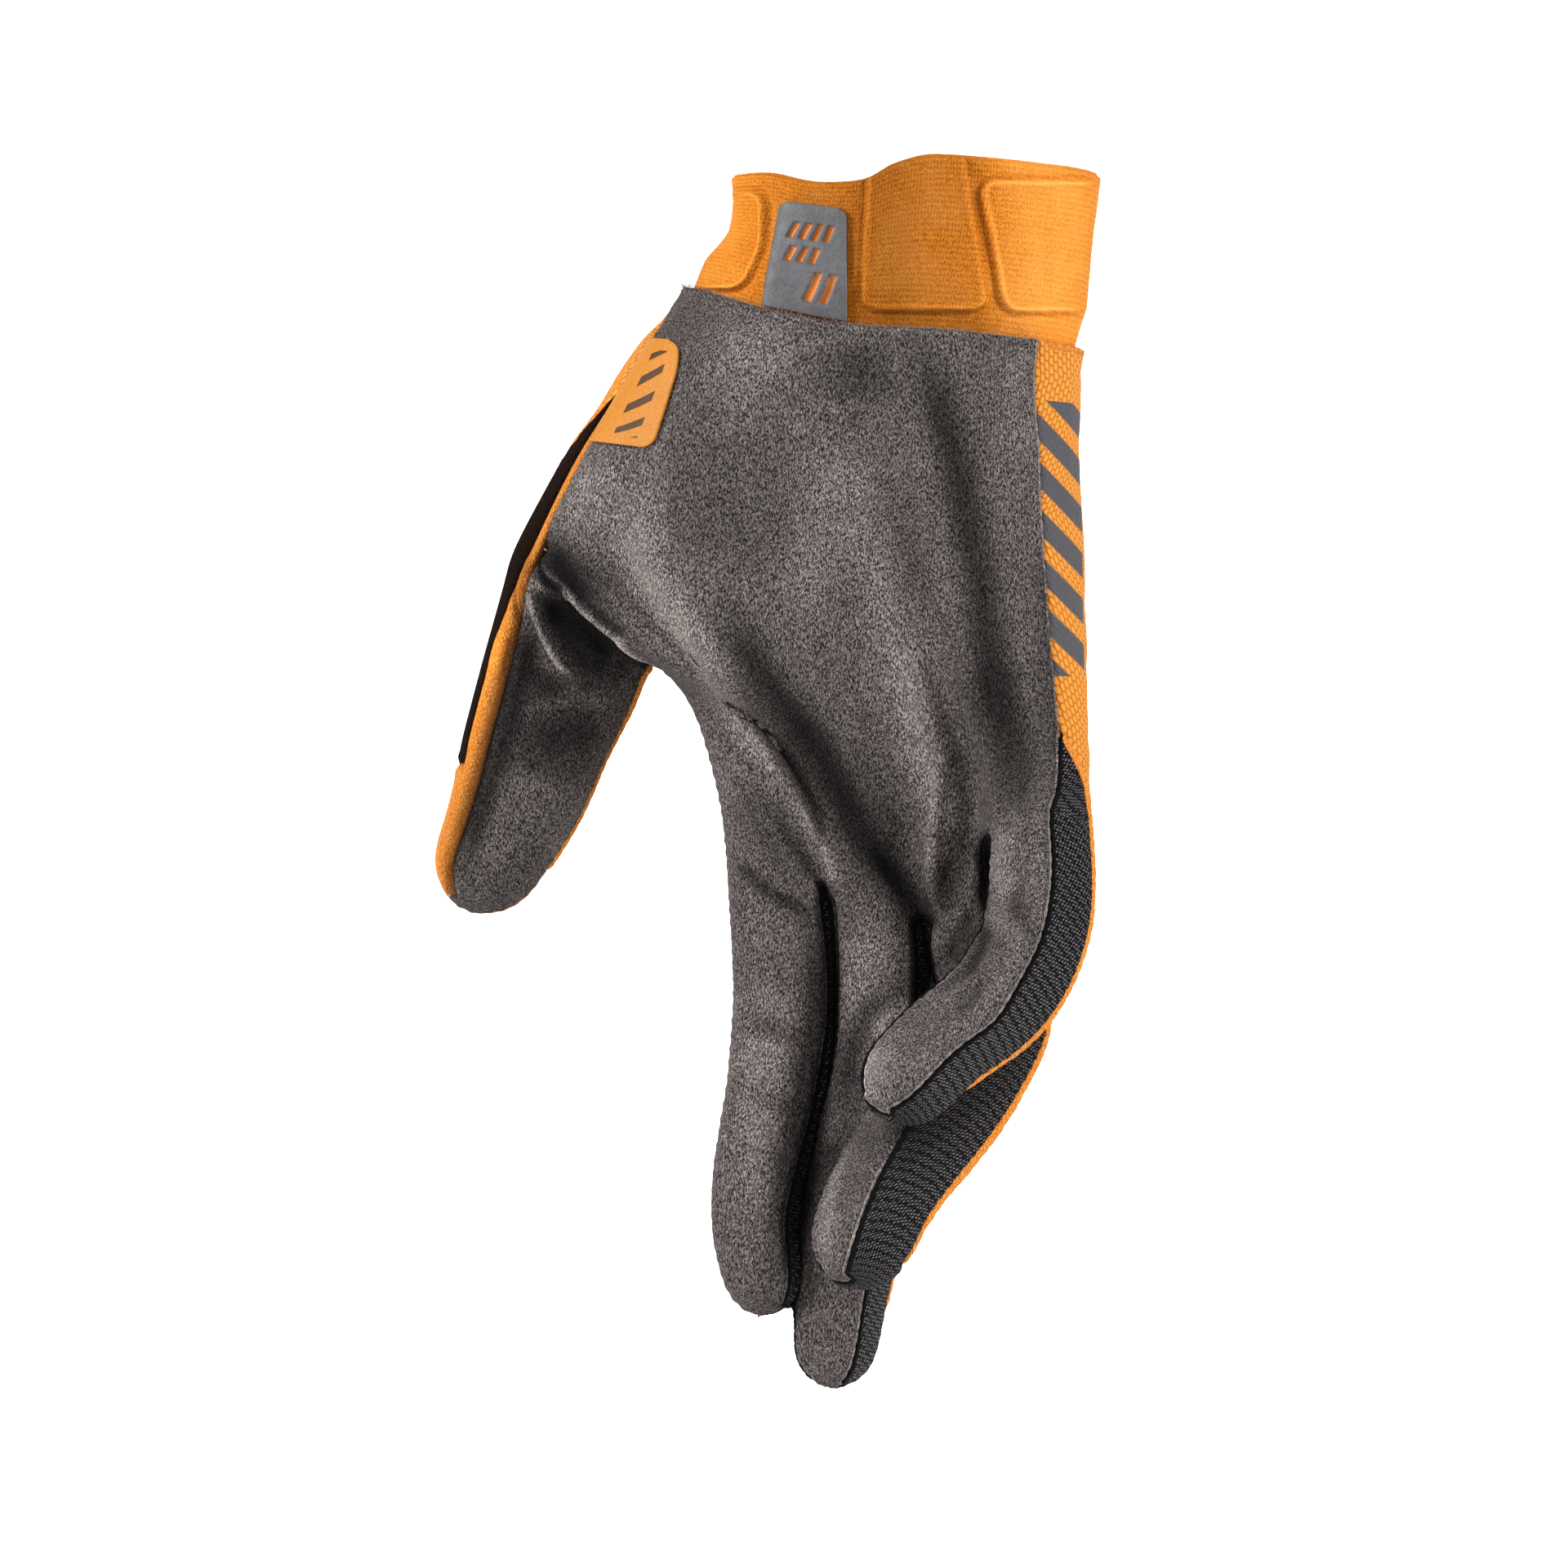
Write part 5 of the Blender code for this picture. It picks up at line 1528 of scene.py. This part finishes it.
def pad_height(point):
    """Returns the relief of the padded fields at a point of the cuff."""
    if point.y > PAD_FRONT:
        return 0.0
    across, up = as_seen(point)
    total = 0.0
    for pad in PADS:
        left, right = spline(pad, up)
        side = min(across - left, right - across)
        end = min(up - pad[0][0], pad[-1][0] - up)
        inside = min(side, end)
        if side < PAD_CORNER and end < PAD_CORNER:
            inside = PAD_CORNER - math.hypot(PAD_CORNER - side, PAD_CORNER - end)
        if inside > -3:
            raised = (PAD_RELIEF * in_step(inside, 0, 99, PAD_EDGE)
                      + PAD_RIDGE * math.exp(-((inside - 0.5) / 0.38) ** 2))
            total = max(total, raised) - PAD_CREASE * math.exp(-((inside + 0.5) / 0.35) ** 2)
    return total * min(1, (PAD_FRONT - point.y) / PAD_FADE)


def cuff_point(degrees, rise, outwards=0.0):
    """Returns a point of the cuff's outer face; rise is 0 at the seam and 1 at the upper edge."""
    middle, half_width, half_depth = spline(CUFF_SECTIONS, max(0, rise))
    clear = SUEDE_WALL + PIECE_GAP
    if rise > 0:
        clear *= max(0, 1 - 4 * rise)
    else:
        clear -= rise * TUCK_INSET
    s, p = ray_point(math.radians(degrees), WRIST_BOXINESS)
    reach = outwards - clear
    x = middle * WRIST_WIDTH / 2 + s * (half_width * WRIST_WIDTH / 2 + reach)
    y = -p * (half_depth * WRIST_DEPTH / 2 + reach)
    seam = -spline(SEAM_LINE, s)[0] * DOWN
    top = spline(CUFF_TOP_EDGE, s)[0] * CUFF_HEIGHT if p > 0 else CUFF_HEIGHT * 0.95
    z = seam + rise * (top - seam) if rise >= 0 else seam + rise * CUFF_TUCK
    return Vector((x, y, z))


def cuff_unevenness(degrees, rise):
    """Returns the slight waves of the stretch knit, most of them near the seam."""
    spot = Vector((degrees / 14, rise * 2.2, 0.7))
    waves = 0.00035 * noise.noise(spot) + 0.00022 * noise.noise(spot * 2.7)
    return waves * clamp(rise * 5)


cuff_knit = Cloth("cuff_knit", "cuff_knit", Roughness=0.8, Sheen_Weight=0.05,
                  Specular_IOR_Level=0.15, **ORANGE_SHEEN)
across, down = cuff_knit.flat()
fuzz = cuff_knit.noise((3300, 3300, 2900), 2.0, 0.6)
ribs = ((down / KNIT_RIB + fuzz * 0.15) * (2 * math.pi)).sine() * 0.5 + 0.5
loops = ((across / KNIT_LOOP) * (2 * math.pi)).sine() * 0.5 + 0.5
patches = cuff_knit.noise(110)
height = ribs * 0.10 + loops * 0.10 + fuzz * 0.9
tone = cuff_knit.mix(height.ramp(0.32, 0.78), CUFF_DEEP, CUFF_PALE)
# painted light and shade on the front's points darkens and lightens the knit, and turns it paler
# where lit
painted_cuff_light = cuff_knit.painted()
tone = cuff_knit.mix(painted_cuff_light.ramp(-0.2, 0.9) * 0.45 + patches.ramp(0.4, 0.7) * 0.15, tone,
                     CUFF_HIGHLIGHT_AND_PATCHES)
cuff_knit.feed("Base Color", cuff_knit.scaled(tone, 2.0 ** painted_cuff_light))
cuff_knit.relief(height, 0.00030, 0.8)

profile = [(rise, 0.0) for rise in (-1.0, -0.7, -0.4, -0.15)]
profile += [(k / CUFF_ROWS, 0.0) for k in range(CUFF_ROWS)]
profile += [(1 - TOP_ROLL, -0.0001), (1, -TOP_ROUNDING * 0.6), (1 + TOP_ROLL, -CUFF_WALL / 2),
            (1, -CUFF_WALL + TOP_ROUNDING * 0.6)]
profile += [(1 - 2 * k / CUFF_INNER_ROWS, -CUFF_WALL) for k in range(1, CUFF_INNER_ROWS + 1)]
places, pad_painted_lights = [], []
for index, (rise, inwards) in enumerate(profile):
    for k in range(CUFF_COLUMNS):
        degrees = 360 * k / CUFF_COLUMNS - 180
        relief, pad_painted_light = inwards, 0.0
        if inwards == 0.0 and rise > 0:
            pad = pad_height(cuff_point(degrees, rise))
            relief += pad
            # painted highlight on the rim, painted shadow in the crease
            pad_painted_light = (PAD_EDGE_PAINTED_LIGHT[0] * clamp((pad - PAD_RELIEF) / PAD_RIDGE)
                         + PAD_EDGE_PAINTED_LIGHT[1] * clamp(-pad / PAD_CREASE))
        pad_painted_lights.append(pad_painted_light)
        if rise > 0:
            relief += cuff_unevenness(degrees, rise)
        places.append(cuff_point(degrees, rise, relief))
girth = math.pi * (WRIST_WIDTH + WRIST_DEPTH) / 2
faces, flat = [], []
for r in range(len(profile)):
    below = (r + 1) % len(profile)
    for k in range(CUFF_COLUMNS):
        n = (k + 1) % CUFF_COLUMNS
        faces.append((r * CUFF_COLUMNS + k, r * CUFF_COLUMNS + n, below * CUFF_COLUMNS + n,
                      below * CUFF_COLUMNS + k))
        for row, column in ((r, k), (r, k + 1), (below, k + 1), (below, k)):
            flat.append((girth * column / CUFF_COLUMNS, profile[row][0] * CUFF_HEIGHT))
# front points carry painted light and shade across the cuff and at the padded fields' edges
show("cuff_tube", [tuple(p) for p in places], faces, cuff_knit, flat, ("cuff",),
     [spline(CUFF_PAINTED_LIGHT, as_seen(p)[0])[0] + pad_painted_light if p.y < 0 else 0.0
      for p, pad_painted_light in zip(places, pad_painted_lights)])
cuff_tree = BVHTree.FromPolygons(places, faces)

# Tab on the front of the cuff: grey moulded rubber with rounded upper corners, bonded on and
# sewn in at the hem. Plain slanted slots are cut through it, in which the knit shows.
LABEL_THICKNESS = 0.0010
LABEL_STEPS = 60
LABEL_LINES = 84
SLOT_DEPTH = 0.0007
RIM_DROP = 0.0003
RIM_SHARE = 1 / 8
LABEL_OUTLINE = [
    # share up, then across and down in mm as the camera sees them: left border, right border
    (0.0, -21.3, 2.1, -6.4, -0.7),
    (0.35, -20.2, 8.8, -6.4, 6.8),
    (0.65, -19.0, 14.4, -6.4, 12.8),
    (0.86, -18.3, 18.2, -6.4, 16.8),
    (0.93, -18.0, 19.5, -6.6, 18.2),
    (0.97, -17.4, 20.2, -7.1, 19.0),
    (1.0, -16.4, 20.6, -8.0, 19.6),
]
SLOTS = [
    # middle and half height up the tab, first and last share across, number of slots
    (0.73, 0.080, 0.18, 0.84, 4),
    (0.50, 0.070, 0.18, 0.66, 3),
    (0.23, 0.120, 0.50, 0.86, 2),
]


def slot_at(across, up):
    """Returns 1 inside a slot of the tab and 0 outside, with a narrow soft edge."""
    deepest = 0.0
    for middle, half, left, right, count in SLOTS:
        width = (right - left) / count
        slanted = across - (up - middle) * 0.55
        if not left <= slanted <= right:
            continue
        inside = in_step((slanted - left) % width / width, 0.20, 0.72, 0.10)
        deepest = max(deepest, inside * in_step(up, middle - half, middle + half, 0.012))
    return deepest


rubber = Cloth("rubber", "rubber", Roughness=0.5, Specular_IOR_Level=0.45)
grain = rubber.noise(1800, 4.0, 0.6)
wipes = rubber.noise((300, 300, 1400))
rubber_tone = rubber.mix(grain.ramp(0.3, 0.7), (0.088, 0.087, 0.094), (0.125, 0.122, 0.130))
rubber.feed("Base Color", rubber.mix(rubber.painted("slot").ramp(0.45, 0.8), rubber_tone,
                                     (0.70, 0.20, 0.020)))
rubber.feed("Roughness", 0.42 + wipes * 0.2)
rubber.relief(grain, 0.00008, 0.6)


def on_cuff(x, z):
    """Returns the place and outward direction of the cuff that the camera sees."""
    spot = cuff_tree.ray_cast(EYE, Vector((x / 1000, 0, z / 1000)) - EYE)[0]
    return cuff_tree.find_nearest(spot)[:2]


def tab_height(across, up, outer):
    """Returns the height of the tab over the cuff, with its slots and its rounded rim."""
    if not outer:
        return PIECE_GAP
    inwards = min(across, 1 - across, (1 - up) * LABEL_LINES / LABEL_STEPS)
    return (PIECE_GAP + LABEL_THICKNESS - slot_at(across, up) * SLOT_DEPTH
            - RIM_DROP * max(0, 1 - inwards / RIM_SHARE) ** 2)


lines = [r / LABEL_LINES for r in range(LABEL_LINES, -1, -1)]
slots = [slot_at(c / LABEL_STEPS, up) for up in lines for c in range(LABEL_STEPS + 1)]
plate("cuff_tab", lines, LABEL_STEPS, LABEL_OUTLINE, on_cuff, tab_height, rubber, ("cuff_label",),
      slots + [0.0] * len(slots), "slot")

# Stitches: pale thread that whips the rolled ridge to the palm, and orange thread at the palm's
# upper corner. Each stitch is a short rounded bar, half sunk in the cloth.
THREAD_RADIUS = 0.00016
CORNER_END = -0.006
BAR_SIDES = 6
BAR_RINGS = [
    # place as a share of the length, thickness, how deep it is sunk in the cloth
    (-0.5, 0.3, 1.4),
    (-0.36, 0.85, 0.5),
    (0, 1, 0),
    (0.36, 0.85, 0.5),
    (0.5, 0.3, 1.4),
]

thread_pale = Cloth("thread_pale", "orange_mesh", Roughness=0.5,
                    Base_Color=(0.80, 0.62, 0.45, 1))
thread_pale.relief(thread_pale.noise(9000, 1.0), 0.00006, 0.7)


def ring_faces(first, last, sides):
    """Returns the faces between rings of points, from the first ring to the last."""
    return [(a + k, a + (k + 1) % sides, a + (k + 1) % sides + sides, a + k + sides)
            for a in range(first, last, sides) for k in range(sides)]


def stitches(name, runs_of, pitch, length, across_share, inset, cloth):
    """Adds a row of short bars along stretches of border, turned across it by a share."""
    places, faces = [], []
    for run in runs_of:
        line, normal, ahead, aside, stops, _ = edge_path(run, pitch)
        for i in range(1, len(stops) - 1):
            along = ahead[i] * (1 - across_share) + aside[i] * across_share
            along /= np.linalg.norm(along)
            side = np.cross(normal[i], along)
            middle = line[i] + aside[i] * inset + normal[i] * THREAD_RADIUS * 1.2
            start = len(places)
            for share, scale, sink in BAR_RINGS:
                centre = middle + along * (share * length) - normal[i] * (sink * THREAD_RADIUS)
                for k in range(BAR_SIDES):
                    turn = 2 * math.pi * k / BAR_SIDES
                    places.append(tuple(centre + (side * math.cos(turn) + normal[i]
                                                  * math.sin(turn)) * (THREAD_RADIUS * scale)))
            last = len(places) - BAR_SIDES
            faces += ring_faces(start, last, BAR_SIDES)
            faces += [range(start, start + BAR_SIDES)[::-1], range(last, last + BAR_SIDES)]
    show(name, places, faces, cloth)


ridge_runs = runs("palm_panel", ["thumb_side_panel"])
stitches("ridge_stitches", ridge_runs, 0.0019, 0.0010, 0.8, -0.0001, thread_pale)
stitches("corner_stitches", parts_above(ridge_runs, CORNER_END), 0.0011, 0.0017, 0.65, 0.0003,
         rolled_knit)

# Loose fibres: the cut edge of the suede and the brushed upper edge of the cuff are fringed with
# fine short hairs of their own thread.
FIBRE_RADIUS = 0.000045
FIBRE_STEP = 0.00028
FIBRE_SIDES = 3
CUFF_HAIRS = 900


def fibres(name, lines, length, cloth, tone, seed):
    """Adds hairs along lines of (points, directions that they stand in, directions along)."""
    chance = np.random.default_rng(seed)
    places, faces = [], []
    for line, stand, ahead in lines:
        for spot, outwards, along in zip(line, stand, ahead):
            lean = chance.normal(0, 0.55, 2)
            aim = outwards + along * lean[0] + np.cross(outwards, along) * lean[1]
            reach = length * chance.uniform(0.35, 1.0)
            bend = along * (chance.normal(0, 0.25) * reach)
            aside = np.cross(aim, along)
            aside /= np.linalg.norm(aside)
            over = np.cross(aside, aim / np.linalg.norm(aim))
            start = len(places)
            for share, thick in ((-0.2, 1.0), (0.5, 0.9), (1.0, 0.3)):
                centre = spot + aim * (reach * share) + bend * share ** 2
                for k in range(FIBRE_SIDES):
                    turn = 2 * math.pi * k / FIBRE_SIDES
                    places.append(tuple(centre + (aside * math.cos(turn) + over * math.sin(turn))
                                        * (FIBRE_RADIUS * thick)))
            last = len(places) - FIBRE_SIDES
            faces += ring_faces(start, last, FIBRE_SIDES)
            faces += [range(last, last + FIBRE_SIDES)[::-1], range(start, start + FIBRE_SIDES)]
    show(name, places, faces, cloth, painted=[tone] * len(places))


hem_lines = []
for run in runs("palm_panel", [None]):
    line, normal, ahead, aside, _, _ = edge_path(run, FIBRE_STEP)
    hem_lines.append((line, normal * 0.5 - aside, ahead))
fibres("hem_fibres", hem_lines, 0.0009, suede, 1.3, 3)
edge = np.array([tuple(cuff_point(360 * k / CUFF_HAIRS - 180, 1.0, -CUFF_WALL / 2))
                 for k in range(CUFF_HAIRS + 1)])
run_along = np.gradient(edge, axis=0)
run_along /= np.linalg.norm(run_along, axis=1)[:, None]
upwards = np.tile((0.0, 0.0, 1.0), (CUFF_HAIRS + 1, 1))
fibres("cuff_fibres", [(edge, upwards, run_along)], 0.0008, cuff_knit, 0.6, 5)

# Photographer's stage: a pale paper floor far below that curves up behind, a tall soft light at
# each side that rakes over the cloth, a weaker one in front, and a pale surround.
FLOOR_HEIGHT = -0.45
paper = Cloth("stage_paper", "stage_paper", Roughness=0.9, Base_Color=(0.93, 0.93, 0.93, 1),
              Specular_IOR_Level=0.1)
sweep = [(-0.7, 0.0), (1.0, 0.0), (1.4, 0.05), (1.7, 0.2), (1.88, 0.5), (1.95, 1.0), (1.95, 2.2)]
places = [(x, y, FLOOR_HEIGHT + z) for y, z in sweep for x in (-1.2, 1.2)]
faces = [(2 * k, 2 * k + 1, 2 * k + 3, 2 * k + 2) for k in range(len(sweep) - 1)]
floor_mesh = bpy.data.meshes.new("floor")
floor_mesh.from_pydata(places, [], faces)
floor_mesh.materials.append(paper.material)
floor_mesh.shade_smooth()
floor = added("floor", floor_mesh)

LIGHTS = [
    # name, place, aim, size across and up, power
    ("left_light", (-1.00, -0.42, 0.38), (-0.01, 0.0, -0.06), 0.40, 0.80, 15.5),
    ("right_light", (1.00, -0.42, 0.38), (-0.01, 0.0, -0.06), 0.40, 0.80, 13.5),
    ("front_light", (-0.15, -1.30, 0.70), (-0.01, 0.0, -0.06), 0.50, 0.50, 5.0),
    ("paper_light", (0.0, 0.7, 0.5), (0.0, 1.95, -0.05), 1.2, 0.8, 26.0),
]
for name, spot, aim, across, up, power in LIGHTS:
    data = bpy.data.lights.new(name, "AREA")
    data.shape = "RECTANGLE"
    data.size, data.size_y, data.energy = across, up, power
    light = added(name, data)
    light.location = spot
    light.rotation_euler = (Vector(aim) - Vector(spot)).to_track_quat("-Z", "Y").to_euler()

world = bpy.data.worlds.new("surround")
world.use_nodes = True
world.node_tree.nodes["Background"].inputs["Color"].default_value = (1, 1, 1, 1)
world.node_tree.nodes["Background"].inputs["Strength"].default_value = 0.12
bpy.context.scene.world = world
bpy.context.scene.view_settings.view_transform = "Standard"
